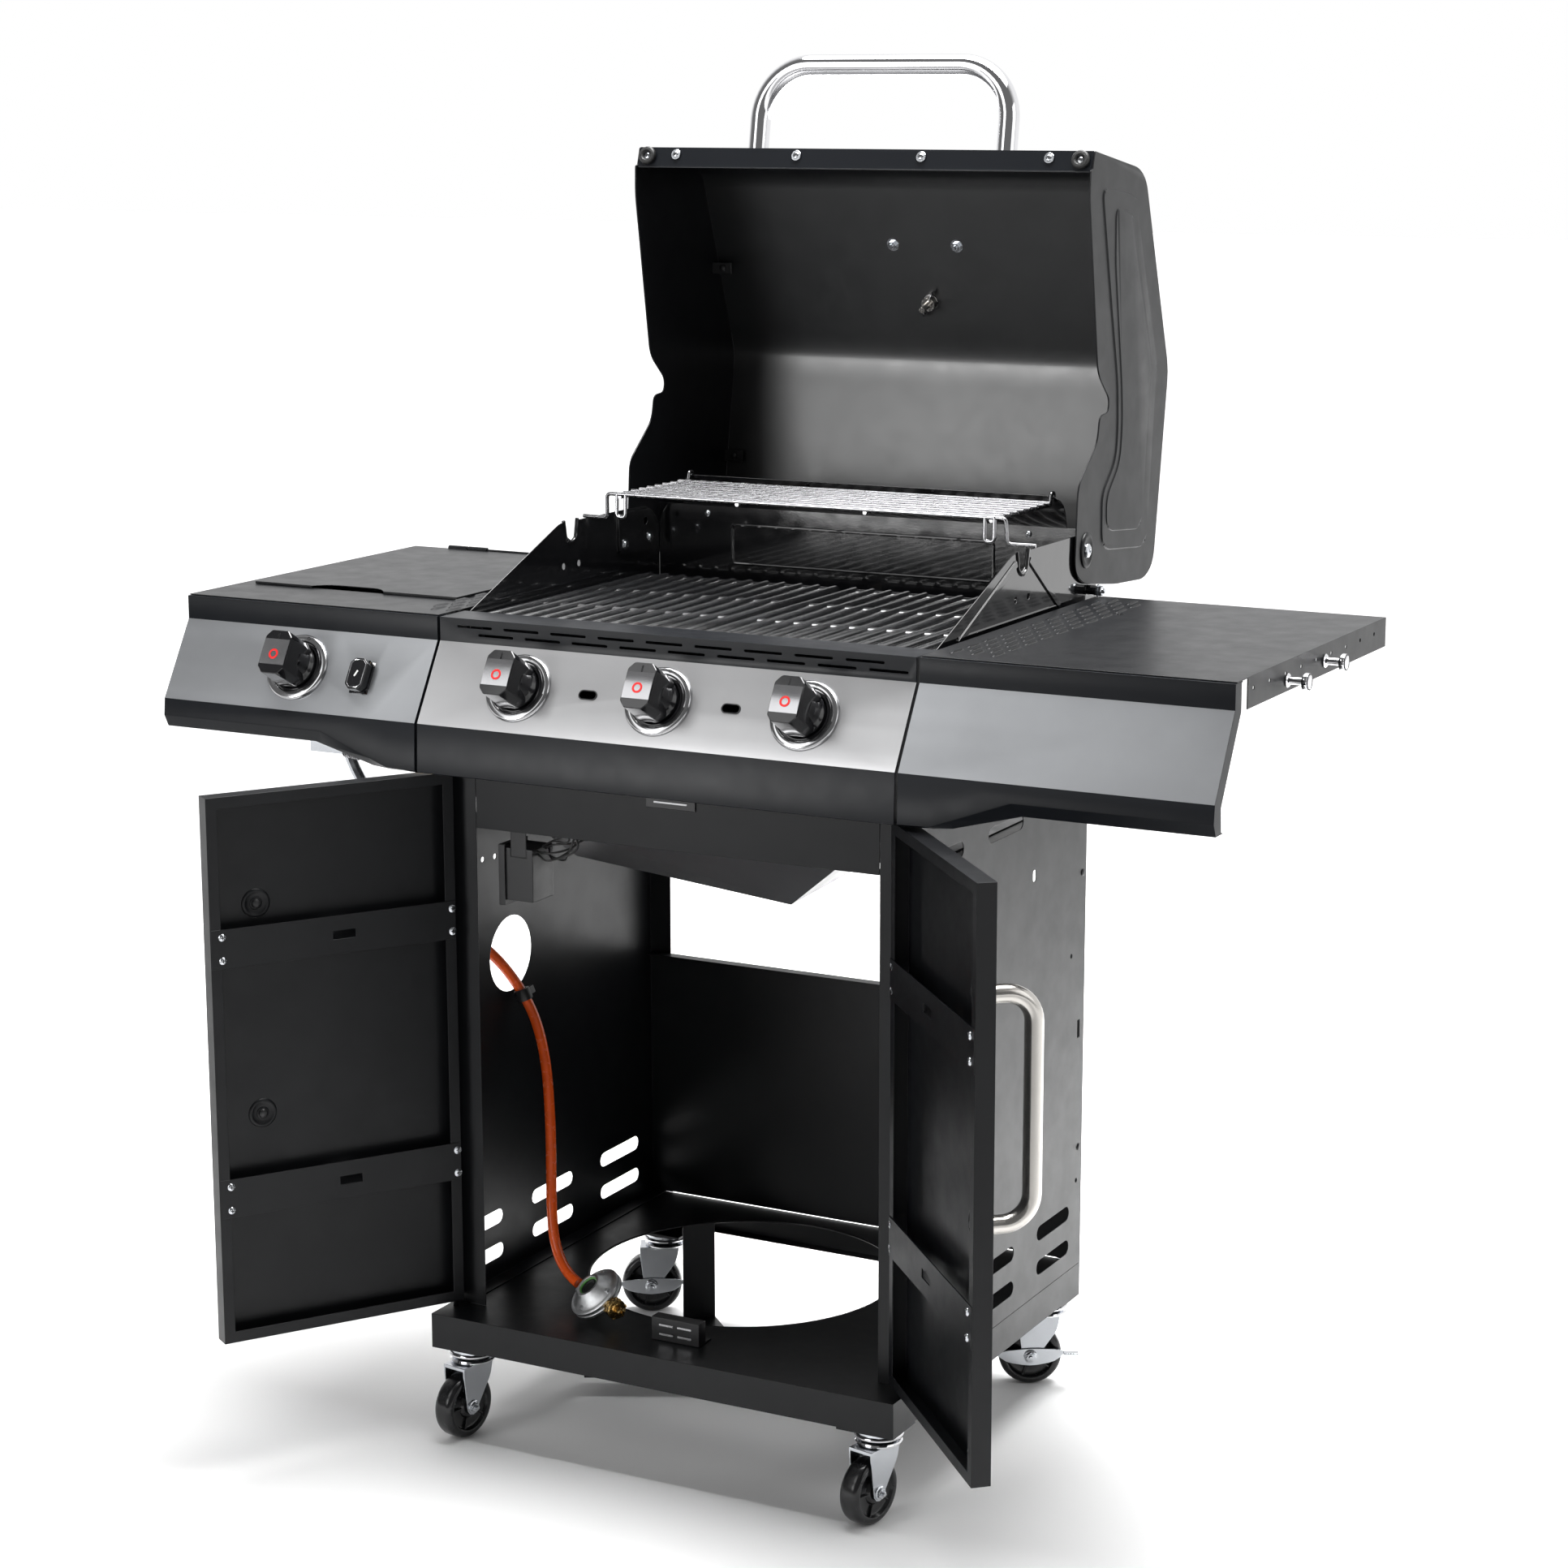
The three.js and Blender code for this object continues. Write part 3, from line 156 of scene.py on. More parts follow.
# Look: its material, colour, roughness and the spread of it, metal, colour drift, grain per metre,
# the grain's depth in millimetres, and the rest.
for look, name, color, rough, spread, metal, tone, grain, depth, rest in (
    ("powder", "powder_black", (0.0050, 0.0054, 0.0064), 0.36, 0.04, 0, 0.1, 1100, 0.1,
     {"wave": (14, 0.25, 0.0006), "ior": 1.34}),
    ("liner", "lid_liner", (0.0062, 0.0066, 0.0076), 0.36, 0.02, 0, 0.1, 1300, 0.08,
     {"wave": (5, 0.1, 0.0008), "ior": 1.8}),
    ("graphite", "graphite_paint", (0.0065, 0.0075, 0.0095), 0.32, 0.03, 0, 0.06, 1600, 0.06, {"ior": 1.24}),
    ("silver", "silver_face", (0.335, 0.335, 0.34), 0.33, 0.05, 0.85, 0.05, 700, 0.04,
     {"stretch": (0.04, 1, 1)}),
    ("side_silver", "side_face", (0.31, 0.318, 0.33), 0.35, 0.04, 0.85, 0.06, 700, 0.04,
     {"stretch": (0.04, 1, 1)}),
    ("porcelain", "porcelain_black", (0.0045, 0.0046, 0.0052), 0.10, 0.05, 0, 0.2, 420, 0.1,
     {"strength": 0.25, "coat": 0.7, "coat_rough": 0.05, "wave": (22, 0.35, 0.0007)}),
    ("iron", "enamelled_iron", (0.008, 0.0083, 0.009), 0.22, 0.04, 0, 0.3, 500, 0.03,
     {"tone_scale": 25, "strength": 0.2, "ior": 2.3}),
    ("emitter", "emitter_steel", (0.10, 0.09, 0.08), 0.42, 0.1, 0.9, 0.3, 900, 0.1, {"tone_scale": 30}),
    ("stainless", "stainless", (0.56, 0.54, 0.51), 0.22, 0.05, 1, 0.05, 900, 0.04, {"stretch": (1, 1, 0.06)}),
    ("chrome", "chrome", (0.82, 0.82, 0.84), 0.06, 0.025, 1, 0.03, 300, 0.02, {"strength": 0.15}),
    ("tray", "grease_tray_grey", (0.085, 0.086, 0.09), 0.34, 0.06, 0.6, 0.12, 900, 0.05, {}),
    ("bezel", "bezel_metal", (0.50, 0.50, 0.51), 0.17, 0.03, 1, 0.03, 1500, 0.02, {}),
    ("knob_face", "knob_face", (0.36, 0.36, 0.37), 0.16, 0.03, 0.9, 0.05, 1500, 0.03, {}),
    ("satin_metal", "satin_metal", (0.44, 0.44, 0.45), 0.26, 0.05, 1, 0.04, 1500, 0.03,
     {"stretch": (0.1, 1, 1)}),
    ("zinc", "zinc_plate", (0.60, 0.62, 0.65), 0.20, 0.05, 1, 0.05, 900, 0.03, {"tone_scale": 20}),
    ("wire", "steel_wire", (0.34, 0.34, 0.35), 0.24, 0.07, 1, 0.12, 900, 0.05, {"tone_scale": 40}),
    ("aluminium", "aluminium_cast", (0.62, 0.63, 0.64), 0.38, 0.08, 1, 0.12, 1500, 0.25,
     {"tone_scale": 120, "strength": 0.6}),
    ("brass", "brass", (0.62, 0.41, 0.15), 0.24, 0.1, 1, 0.22, 1800, 0.08, {"tone_scale": 90}),
    ("gloss_plastic", "knob_plastic", (0.006, 0.006, 0.007), 0.14, 0.03, 0, 0.15, 1400, 0.03,
     {"strength": 0.2, "coat": 0.3}),
    ("plastic", "black_plastic", (0.010, 0.010, 0.011), 0.42, 0.06, 0, 0.15, 2400, 0.1, {}),
    ("wheel", "wheel_plastic", (0.008, 0.008, 0.009), 0.22, 0.08, 0, 0.25, 1200, 0.1, {"tone_scale": 40}),
    ("hose", "hose_rubber", (0.80, 0.10, 0.012), 0.24, 0.06, 0, 0.1, 700, 0.08,
     {"tone_scale": 40, "coat": 0.25, "coat_rough": 0.2}),
    ("red", "red_mark", (0.62, 0.015, 0.015), 0.3, 0.06, 0, 0.05, 1500, 0.02, {}),
    ("green", "green_band", (0.12, 0.36, 0.08), 0.35, 0.06, 0, 0.08, 1500, 0.04, {}),
    ("rubber", "black_rubber", (0.010, 0.010, 0.010), 0.5, 0.06, 0, 0.15, 1500, 0.1, {}),
    ("dial", "dial_white", (0.72, 0.72, 0.70), 0.35, 0.06, 0, 0.02, 1200, 0.02, {}),
):
    LOOKS[look] = surface(name, color, rough, metal, tone, grain=grain, depth=depth * MM,
                          rough_spread=spread, **rest)

# What each look is called among the record's material slots.
SLOTS = {}
for slot, looks in (
    ("powder_black", "powder liner"),
    ("porcelain_black", "porcelain"),
    ("enamelled_iron", "iron"),
    ("stainless", "stainless satin_metal"),
    ("chrome", "chrome bezel knob_face"),
    ("zinc_plate", "zinc"),
    ("steel_wire", "wire"),
    ("aluminium_cast", "aluminium"),
    ("brass", "brass"),
    ("wheel_plastic", "wheel"),
    ("knob_plastic", "gloss_plastic"),
    ("black_plastic", "plastic rubber"),
    ("hose_rubber", "hose"),
):
    SLOTS.update({look: slot for look in looks.split()})


def shift(x, y, z):
    return Matrix.Translation((x, y, z))


def spin(degrees, axis="Z"):
    return Matrix.Rotation(math.radians(degrees), 4, axis)


def mirror(sign):
    """Swaps left and right where the sign is -1."""
    return Matrix.Scale(sign, 4, Vector((1, 0, 0)))


# What is drawn in (y, z) and pushed along x; what is drawn in (x, z) and faces the front.
TO_YZ = Matrix(((0, 0, 1, 0), (1, 0, 0, 0), (0, 1, 0, 0), (0, 0, 0, 1)))
TO_FRONT = spin(90, "X")


# ---------------------------------------------------------------- shapes: (points, faces) in millimetres
def moved(shape, matrix):
    points, faces = shape
    return [matrix @ Vector(p) for p in points], faces


def merged(*shapes):
    points, faces = [], []
    for p, f in shapes:
        base = len(points)
        points += list(p)
        faces += [[base + i for i in face] for face in f]
    return points, faces


def lathe(profile, segments=48):
    """Turned about +Z from [radius, height] points; a radius of 0 closes it, and equal ends make a ring."""
    loop = profile[0] == profile[-1] and profile[0][0] > 0
    rows = profile[:-1] if loop else profile
    points, faces, ring = [], [], []
    for radius, z in rows:
        if radius == 0:
            ring.append([len(points)] * segments)
            points.append(Vector((0, 0, z)))
        else:
            ring.append(list(range(len(points), len(points) + segments)))
            for i in range(segments):
                angle = 2 * math.pi * i / segments
                points.append(Vector((radius * math.cos(angle), radius * math.sin(angle), z)))
    pairs = list(zip(ring, ring[1:])) + ([(ring[-1], ring[0])] if loop else [])
    for low, high in pairs:
        for i in range(segments):
            j = (i + 1) % segments
            face = [low[i], low[j], high[j], high[i]]
            face = [v for k, v in enumerate(face) if v not in face[:k]]
            if len(face) > 2:
                faces.append(face)
    return points, faces


def bridged(rows, loop=False):
    """Faces joining equal closed rows of points; the ends are capped unless the rows make a loop."""
    count, last = len(rows[0]), len(rows) - 1
    faces = []
    for r in range(last + loop):
        a, b = r * count, (r + 1) % len(rows) * count
        faces += [[a + i, a + (i + 1) % count, b + (i + 1) % count, b + i] for i in range(count)]
    if not loop:
        faces += [list(range(count))[::-1], [last * count + i for i in range(count)]]
    return [p for row in rows for p in row], faces


def tube(path, radius, sides=16, closed=False):
    """A round bar along points, without twist."""
    path = [Vector(p) for p in path]
    count = len(path)
    radii = radius if isinstance(radius, list) else [radius] * count
    tangents = []
    for i in range(count):
        a = path[(i - 1) % count] if closed or i > 0 else path[i]
        b = path[(i + 1) % count] if closed or i < count - 1 else path[i]
        tangents.append((b - a).normalized())
    side = tangents[0].orthogonal().normalized()
    rows = []
    for i in range(count):
        if i:
            turn = tangents[i - 1].rotation_difference(tangents[i])
            side = (turn @ side).normalized()
        up = tangents[i].cross(side)
        angles = [2 * math.pi * k / sides for k in range(sides)]
        rows.append([path[i] + radii[i] * (math.cos(a) * side + math.sin(a) * up) for a in angles])
    return bridged(rows, closed)


def corner_curve(corner, before, after, steps):
    """A bend round a corner, from one offset away from it to another."""
    a, b = corner + before, corner + after
    times = [k / steps for k in range(steps + 1)]
    return [a * (1 - t) ** 2 + corner * 2 * t * (1 - t) + b * t * t for t in times]


def rounded(corners, steps=5):
    """A closed outline through (x, y, radius) corners."""
    points = []
    count = len(corners)
    for i, corner in enumerate(corners):
        here = Vector(corner[:2])
        radius = corner[2] if len(corner) > 2 else 0
        before = Vector(corners[i - 1][:2]) - here
        after = Vector(corners[(i + 1) % count][:2]) - here
        if not radius:
            points.append(here)
            continue
        reach = [v.normalized() * min(radius, v.length / 2) for v in (before, after)]
        points += corner_curve(here, *reach, steps)
    return points


def offset(outline, distance):
    """The outline moved inwards."""
    count = len(outline)
    area = sum(outline[i - 1].x * outline[i].y - outline[i].x * outline[i - 1].y for i in range(count))
    sign = 1 if area > 0 else -1
    result = []
    for i in range(count):
        a, b, c = outline[i - 1], outline[i], outline[(i + 1) % count]
        u, v = (b - a).normalized(), (c - b).normalized()
        normal = Vector((-(u.y + v.y), u.x + v.x))
        if normal.length < 1e-6:
            normal = Vector((-u.y, u.x))
        normal.normalize()
        scale = max(0.35, normal.dot(Vector((-u.y, u.x))))
        result.append(b + normal * sign * distance / scale)
    return result


def prism(outline, low, high, chamfer=0.0, both=False):
    """An outline in (x, y) pushed from one height to another, with its edges eased."""
    outline = [Vector(p[:2]) for p in outline]
    if chamfer:
        inner = offset(outline, chamfer)
        foot = [(inner, low), (outline, low + chamfer)] if both else [(outline, low)]
        rows = [*foot, (outline, high - chamfer), (inner, high)]
    else:
        rows = [(outline, low), (outline, high)]
    return bridged([[Vector((p.x, p.y, z)) for p in row] for row, z in rows])


def block(x0, x1, y0, y1, z0, z1, chamfer=0.4):
    return prism([(x0, y0), (x1, y0), (x1, y1), (x0, y1)], z0, z1, chamfer, both=True)


def frame_of(origin, z_axis, x_hint=(1, 0, 0)):
    """A matrix whose +Z points along z_axis."""
    z = Vector(z_axis).normalized()
    hint = Vector(x_hint)
    if abs(hint.normalized().dot(z)) > 0.98:
        hint = Vector((0, 1, 0))
    x = (hint - z * hint.dot(z)).normalized()
    y = z.cross(x)
    return Matrix.Translation(origin) @ Matrix((x, y, z)).transposed().to_4x4()


def solid_object(name, shape):
    """An object in the frame from a shape in millimetres, its faces turned outwards."""
    points, faces = shape
    mesh = bpy.data.meshes.new(name)
    mesh.from_pydata([TO_FRAME @ Vector(p) for p in points], [], faces)
    b = bmesh.new()
    b.from_mesh(mesh)
    bmesh.ops.recalc_face_normals(b, faces=b.faces)
    b.to_mesh(mesh)
    b.free()
    return placed(name, mesh)


def add(name, body, shape, look, replaces=(), angle=35, slot=None):
    """A finished piece from a shape in millimetres, riding on a body."""
    thing = solid_object(name, shape)
    mesh = thing.data
    mesh.shade_smooth()
    mesh.set_sharp_from_angle(angle=math.radians(angle))
    mesh.materials.append(LOOKS[look])
    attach(thing, body)
    if replaces:
        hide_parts(*replaces)
    slot = slot or SLOTS.get(look)
    return thing


def ease(thing, width):
    """Small bevels on the edges, with even shading over them."""
    bevel = thing.modifiers.new("eased_edges", "BEVEL")
    bevel.width = width * MM
    bevel.segments = 2
    bevel.limit_method = "ANGLE"
    bevel.angle_limit = math.radians(32)
    bevel.use_clamp_overlap = False
    normals = thing.modifiers.new("even_shading", "WEIGHTED_NORMAL")
    normals.keep_sharp = False


# ---------------------------------------------------------------- the gas hose and its regulator
HOSE_DIAMETER = 0.0126
HOSE_ROUTE = [
    (-427.8, 27.1, 749.6), (-422.9, 28, 738.7), (-418, 31.5, 719), (-413, 39, 698), (-406.5, 47, 676),
    (-399, 57, 654), (-390, 69, 631.5), (-379.5, 83, 610), (-367.5, 97, 590.5), (-354.5, 110, 573),
    (-340.5, 120.5, 557), (-326, 128.5, 542), (-312, 133.5, 527), (-298.5, 136.5, 510.5), (-286.5, 139.5,
        492),
    (-275.5, 141, 472), (-266, 139.5, 451.5), (-258, 136.5, 430), (-251, 132, 406), (-245.5, 127, 381),
    (-240.9, 121.8, 356), (-237, 116.8, 331), (-234, 112.2, 306), (-231.3, 107.7, 281), (-227.8, 101.8,
        256.5),
    (-222.6, 94.8, 234), (-215.1, 86.7, 214.5), (-204.2, 77.7, 199), (-190.6, 68.5, 188), (-176.1, 60.5, 181),
    (-162.1, 54, 177),
]


def smooth_path(points, per_span=4):
    """Points along a Catmull-Rom curve through the given ones."""
    p = [Vector(q) for q in points]
    p = [2 * p[0] - p[1], *p, 2 * p[-1] - p[-2]]
    result = []
    for i in range(1, len(p) - 2):
        for k in range(per_span):
            t = k / per_span
            a, b, c, d = p[i - 1], p[i], p[i + 1], p[i + 2]
            result.append(0.5 * (2 * b + (c - a) * t + (2 * a - 5 * b + 4 * c - d) * t * t
                                 + (3 * b - a - 3 * c + d) * t ** 3))
    result.append(p[-2])
    return result


hose_path = [TO_FRAME @ q for q in smooth_path(HOSE_ROUTE)]
hose_length = sum((b - a).length for a, b in zip(hose_path, hose_path[1:]))
hose_shape = tube(smooth_path(HOSE_ROUTE), HOSE_DIAMETER / MM / 2, 24)
hose = add("hose", "cart", hose_shape, "hose", ["gas_hose"])

REGULATOR = {"place": (-124.6, 32, 177.6), "up": (-0.355, -0.5416, 0.763), "along": (0.895, -0.419, -0.149)}
on_regulator = frame_of(REGULATOR["place"], REGULATOR["up"], REGULATOR["along"])


def along_x(shape, y=0.0, z=0.0, x=0.0):
    """Turns a shape made about +Z to run along +X."""
    return moved(shape, shift(x, y, z) @ spin(90, "Y"))


def hexagon(radius):
    return [(radius * math.cos(math.pi * k / 3), radius * math.sin(math.pi * k / 3)) for k in range(6)]


def regulator_pieces():
    disc = lathe([
        (0, -15), (14, -15), (16, -14), (18.5, -10), (22, -7), (27, -5.6), (32.4, -5), (33.4, -4.4), (33.4,
            -1.6),
        (32.8, -0.9), (31.6, -0.5), (31.6, 0.5), (32.8, 0.9), (33.4, 1.6), (33.4, 4.0), (32.6, 4.8), (30,
            5.4),
        (27.5, 6.4), (24, 9.2), (20, 12.6), (17.2, 15.2), (16, 16.6), (15.2, 17.4), (12.6, 17.6), (12.1, 17),
        (12.1, 12.5), (0, 12.3),
    ], 72)
    boss = prism(rounded([(-3, -2.6, 1), (3, -2.6, 1), (3, 2.6, 1), (-3, 2.6, 1)]), 6, 9.5, 0.7)
    parts = [disc]
    for angle in (20, 110, 200, 290):
        turn = spin(angle) @ shift(25.5, 0, 0)
        parts.append(moved(boss, turn))
    parts.append(along_x(lathe([(0, -22), (7.2, -22), (8, -20), (9.6, -14), (10, -4), (10, 24), (9.4, 27),
                                (0, 27)], 40), z=-9))
    body = add("regulator_body", "cart", moved(merged(*parts), on_regulator), "aluminium", ["regulator"])
    ring = lathe([(12.2, 12.6), (12.2, 15.6), (11.4, 16.2), (10.6, 15.6), (10.6, 12.6), (12.2, 12.6)], 48)
    band = add("regulator_band", "cart", moved(ring, on_regulator), "green")
    cap = lathe([(10.5, 12.4), (10.5, 14.4), (9.4, 14.8), (7.4, 14.8), (6.8, 14), (0, 13.6)], 40)
    recess = add("regulator_recess", "cart", moved(cap, on_regulator), "plastic")
    profile = [(0, -1), (6.9, -1), (7.2, 0)]
    for k in range(6):
        profile += [(7.2, 1 + 2.4 * k), (6.5, 2 + 2.4 * k), (7.2, 3 + 2.4 * k)]
    profile += [(7.2, 17), (5, 18), (0, 18)]
    sleeve = along_x(lathe(profile, 40), z=-9, x=-39)
    ferrule = add("hose_ferrule", "cart", moved(sleeve, on_regulator), "zinc")
    union = merged(
        along_x(lathe([(0, 25), (9, 25), (9, 28.4), (0, 28.4)], 40), z=-9),
        along_x(prism(hexagon(12.6), 28.4, 37, 0.9, both=True), z=-9),
        along_x(lathe([(0, 37), (10.8, 37), (11.4, 38), (11.4, 42), (10.6, 43), (6.6, 43.2), (6.2, 44),
                       (0, 44)], 40), z=-9),
        along_x(lathe([(0, 44), (4.6, 44), (4.8, 48.5), (3.9, 52.6), (3.2, 53), (1.8, 53), (1.8, 50),
                       (0, 50)], 32), z=-9),
        *[along_x(moved(block(9.6, 12.4, -1.6, 1.6, 38.5, 42.6, 0.5), spin(60 * k)), z=-9)
          for k in range(6)],
    )
    nut = add("regulator_union", "cart", moved(union, on_regulator), "brass")
    return [body, band, recess, ferrule, nut]


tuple(hose_path[0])
regulator_pieces()

# ---------------------------------------------------------------- CAD nodes that keep their shape
# (look, width of the eased edges in millimetres): nodes
FINISH = {
    ("powder", 0.5): "base_shelf bottle_cradle",
    ("powder", 0.4): (
        "side_panel_left side_panel_right header_beam rear_panel shelf_right shelf_left "
        "side_burner_lid"
    ),
    ("plastic", 0.5): "lower_door_catch",
    ("graphite", 0.5): "console_left console_center console_right",
    ("zinc", 0.3): "valve_stem_side valve_stem_left valve_stem_middle valve_stem_right",
    ("gloss_plastic", 1.2): "igniter_button",
    ("zinc", 0.4): "gas_manifold",
    ("plastic", 1): "ignition_module",
    ("porcelain", 0.4): "firebox_wall_left firebox_wall_right firebox_trough",
    ("emitter", 0.4): "emitter_left emitter_right",
    ("stainless", 0.3): "burner_left burner_middle burner_right lid_thermometer",
    ("tray", 0.4): "grease_tray",
    ("brass", 0.6): "side_burner_head",
    ("iron", 0.9): "side_burner_grate",
    ("graphite", 0.3): "lid_front_strip",
    ("powder", 0.45): "door_left door_right",
    ("zinc", 0.5): (
        "caster_brake_rear_left caster_brake_rear_right caster_fork_front_left "
        "caster_fork_front_right caster_fork_rear_left caster_fork_rear_right"
    ),
}


# Corners closer than this many metres are one; faces within this many degrees are one face.
WELD_GAP, FLAT_WITHIN = 0.00001, 0.4


def finish_node(name, look, width):
    """Gives a CAD node its look, whole faces and eased edges."""
    thing = NODES[name]
    thing.data.materials.clear()
    thing.data.materials.append(LOOKS[look])
    thing.data.shade_smooth()
    weld = thing.modifiers.new("weld", "WELD")
    weld.merge_threshold = WELD_GAP
    flat = thing.modifiers.new("whole_faces", "DECIMATE")
    flat.decimate_type = "DISSOLVE"
    flat.angle_limit = math.radians(FLAT_WITHIN)
    flat.delimit = {"MATERIAL"}
    ease(thing, width)


for (look, width), nodes in FINISH.items():
    for node in nodes.split():
        finish_node(node, look, width)

# ---------------------------------------------------------------- floor, light, world
def make_floor():
    """A pale sheet that brightens away from the cart."""
    size, roughness = 30, 0.75
    to_centre, glow_from, glow_to, glow_strength = (0, 1.6, 0), 2.0, 4.0, 0.8
    mesh = bpy.data.meshes.new("floor")
    mesh.from_pydata([(-size, -size, 0), (size, -size, 0), (size, size, 0), (-size, size, 0)], [],
                     [(0, 1, 2, 3)])
    floor = placed("floor", mesh)
    n = Nodes("floor_paper")
    n.shader.inputs["Roughness"].default_value = roughness
    n.link(n.blend(n.noise(3, 3), (0.93, 0.93, 0.93), (0.95, 0.95, 0.95)), n.shader.inputs["Base Color"])
    radius = n.add("ShaderNodeVectorMath")
    radius.operation = "LENGTH"
    shifted = n.add("ShaderNodeVectorMath")
    shifted.inputs[1].default_value = to_centre
    n.link(n.place, shifted.inputs[0])
    n.link(shifted.outputs["Vector"], radius.inputs[0])
    glow = n.spread(radius.outputs["Value"], 0.0, glow_strength, glow_from, glow_to)
    n.shader.inputs["Emission Color"].default_value = (1, 1, 1, 1)
    n.link(glow, n.shader.inputs["Emission Strength"])
    mesh.materials.append(n.material)


def make_world():
    """White behind the cart and dimmer in front of it."""
    world = bpy.data.worlds.new("studio")
    world.use_nodes = True
    tree = world.node_tree
    direction = tree.nodes.new("ShaderNodeTexCoord")
    split = tree.nodes.new("ShaderNodeSeparateXYZ")
    depth = tree.nodes.new("ShaderNodeMapRange")
    depth.interpolation_type = "SMOOTHSTEP"
    for name, value in (("From Min", -0.35), ("From Max", 0.55), ("To Min", 0.16), ("To Max", 1.0)):
        depth.inputs[name].default_value = value
    tree.links.new(direction.outputs["Generated"], split.inputs[0])
    tree.links.new(split.outputs["Y"], depth.inputs["Value"])
    tree.links.new(depth.outputs["Result"], tree.nodes["Background"].inputs["Strength"])
    tree.nodes["Background"].inputs["Color"].default_value = (1, 1, 1, 1)
    bpy.context.scene.world = world
    bpy.context.scene.view_settings.view_transform = "Standard"


def make_lights():
    """Square soft lights: place, target, width, power and spread."""
    lights = [
        ("key", (-1.2, -2.3, 2.3), (0, -0.2, 0.95), 1.3, 5, 120),
        ("low", (-1.3, -2.6, 1.15), (0, 0.5, 1.15), 0.9, 4, 60),
        ("fill", (3.4, -0.2, 2.2), (0, 0, 0.7), 2.0, 14, 180),
        ("top", (0.1, 0.8, 3.1), (0.1, 0.8, 0), 2.4, 95, 80),
    ]
    for name, place, target, width, power, spread in lights:
        data = bpy.data.lights.new(name, "AREA")
        data.shape = "SQUARE"
        data.size = width
        data.energy = power
        data.spread = math.radians(spread)
        lamp = placed(name, data)
        lamp.location = place
        lamp.rotation_euler = (Vector(target) - Vector(place)).to_track_quat("-Z", "Y").to_euler()


make_floor()
make_world()
make_lights()

# ---------------------------------------------------------------- places on the cart
BAND_FRONT, BAND_BOTTOM, SLANT_FRONT, SLANT_BOTTOM = -1, 939.5, -52, 852
SLANT_TILT = math.atan2(BAND_BOTTOM - SLANT_BOTTOM, BAND_FRONT - SLANT_FRONT)
KNOBS = {"side": -481, "left": -180, "middle": 0, "right": 180}
KNOB_Z = 897.5
IGNITER = {"x": -389.4, "z": 893.5}


def on_slant(x, z=KNOB_Z):
    y = BAND_FRONT + (SLANT_FRONT - BAND_FRONT) * (BAND_BOTTOM - z) / (BAND_BOTTOM - SLANT_BOTTOM)
    return shift(x, y, z) @ Matrix.Rotation(SLANT_TILT, 4, "X")


DOOR_ANGLE = {"left": -122.9, "right": 132.7}


def on_door(side):
    """From a door's own upright frame to where it stands open."""
    sign = -1 if side == "left" else 1
    turn = spin(DOOR_ANGLE[side])
    flip = mirror(-sign)
    return shift(sign * 290.5, -13.5, 0) @ turn @ flip


# ---------------------------------------------------------------- fixings
def screw_head(radius=5.2, height=2.6):
    """A domed cross-recess head on +Z."""
    return lathe([(0, 0), (radius, 0), (radius, 0.5), (radius * 0.93, height * 0.5),
                  (radius * 0.7, height * 0.85),
                  (radius * 0.3, height), (0, height)], 24)


# A dark cross of painted shade, standing in for the shadowed cross recess of a screw head.
def painted_recess_shade(radius=5.2, height=2.6):
    arm, wide = radius * 0.46, radius * 0.13
    return merged(block(-arm, arm, -wide, wide, height - 0.35, height + 0.12, 0.08),
                  block(-wide, wide, -arm, arm, height - 0.35, height + 0.12, 0.08))


def washer(outer=8, inner=3, thick=1.2):
    return lathe([(inner, 0), (outer, 0), (outer, thick * 0.7), (outer - 0.4, thick), (inner, thick),
                  (inner, 0)], 32)


def nut(radius=6, height=5):
    end = [(0, 0), (radius * 0.45, 0), (radius * 0.45, height + 2.4), (radius * 0.36, height + 3),
           (0, height + 3)]
    return merged(prism(hexagon(radius), 0, height, 0.6, both=True), lathe(end, 20))


def fixings(name, body, places, radius=5.2, height=2.6, look="zinc", ring=None):
    """Screws at (place, outward direction); the dark of their cross recesses is painted shade, one dark piece
    standing on the heads.
    """
    spots = [frame_of(place, direction) for place, direction in places]
    heads = [moved(screw_head(radius, height), m) for m in spots]
    if ring:
        heads += [moved(washer(ring, radius * 0.6, 1.0), m) for m in spots]
    add(name, body, merged(*heads), look)
    # The dark crosses are painted shade in the screws' recesses.
    add(name + "_recess", body, merged(*[moved(painted_recess_shade(radius, height), m) for m in spots]), "plastic")


# ---------------------------------------------------------------- console
def face_material(node, look):
    """Gives the slanted face of a console piece its own finish."""
    data = NODES[node].data
    data.materials.append(LOOKS[look])
    outward = Matrix.Rotation(SLANT_TILT, 3, "X") @ Vector((0, 0, 1))
    for polygon in data.polygons:
        z = polygon.center.z / MM
        if polygon.normal.dot(outward) > 0.97 and SLANT_BOTTOM - 1 < z < BAND_BOTTOM + 1:
            polygon.material_index = 1


face_material("console_center", "silver")
face_material("console_left", "side_silver")
face_material("console_right", "side_silver")


def slot_outline(x, y, length, height, steps=5):
    reach = (length - height) / 2
    points = []
    for cx, start in ((x + reach, -90), (x - reach, 90)):
        for k in range(steps + 1):
            angle = math.radians(start + 180 * k / steps)
            points.append((cx + height / 2 * math.cos(angle), y + height / 2 * math.sin(angle)))
    return points


def cutter(name, node, shape):
    """Cuts a shape out of a CAD node's shown surface."""
    tool = solid_object(name, shape)
    tool.hide_render = True
    tool.hide_viewport = True
    thing = NODES[node]
    hole = thing.modifiers.new("openings", "BOOLEAN")
    hole.operation = "DIFFERENCE"
    hole.object = tool
    hole.solver = "EXACT"
    index = list(thing.modifiers).index(hole)
    thing.modifiers.move(index, 2)


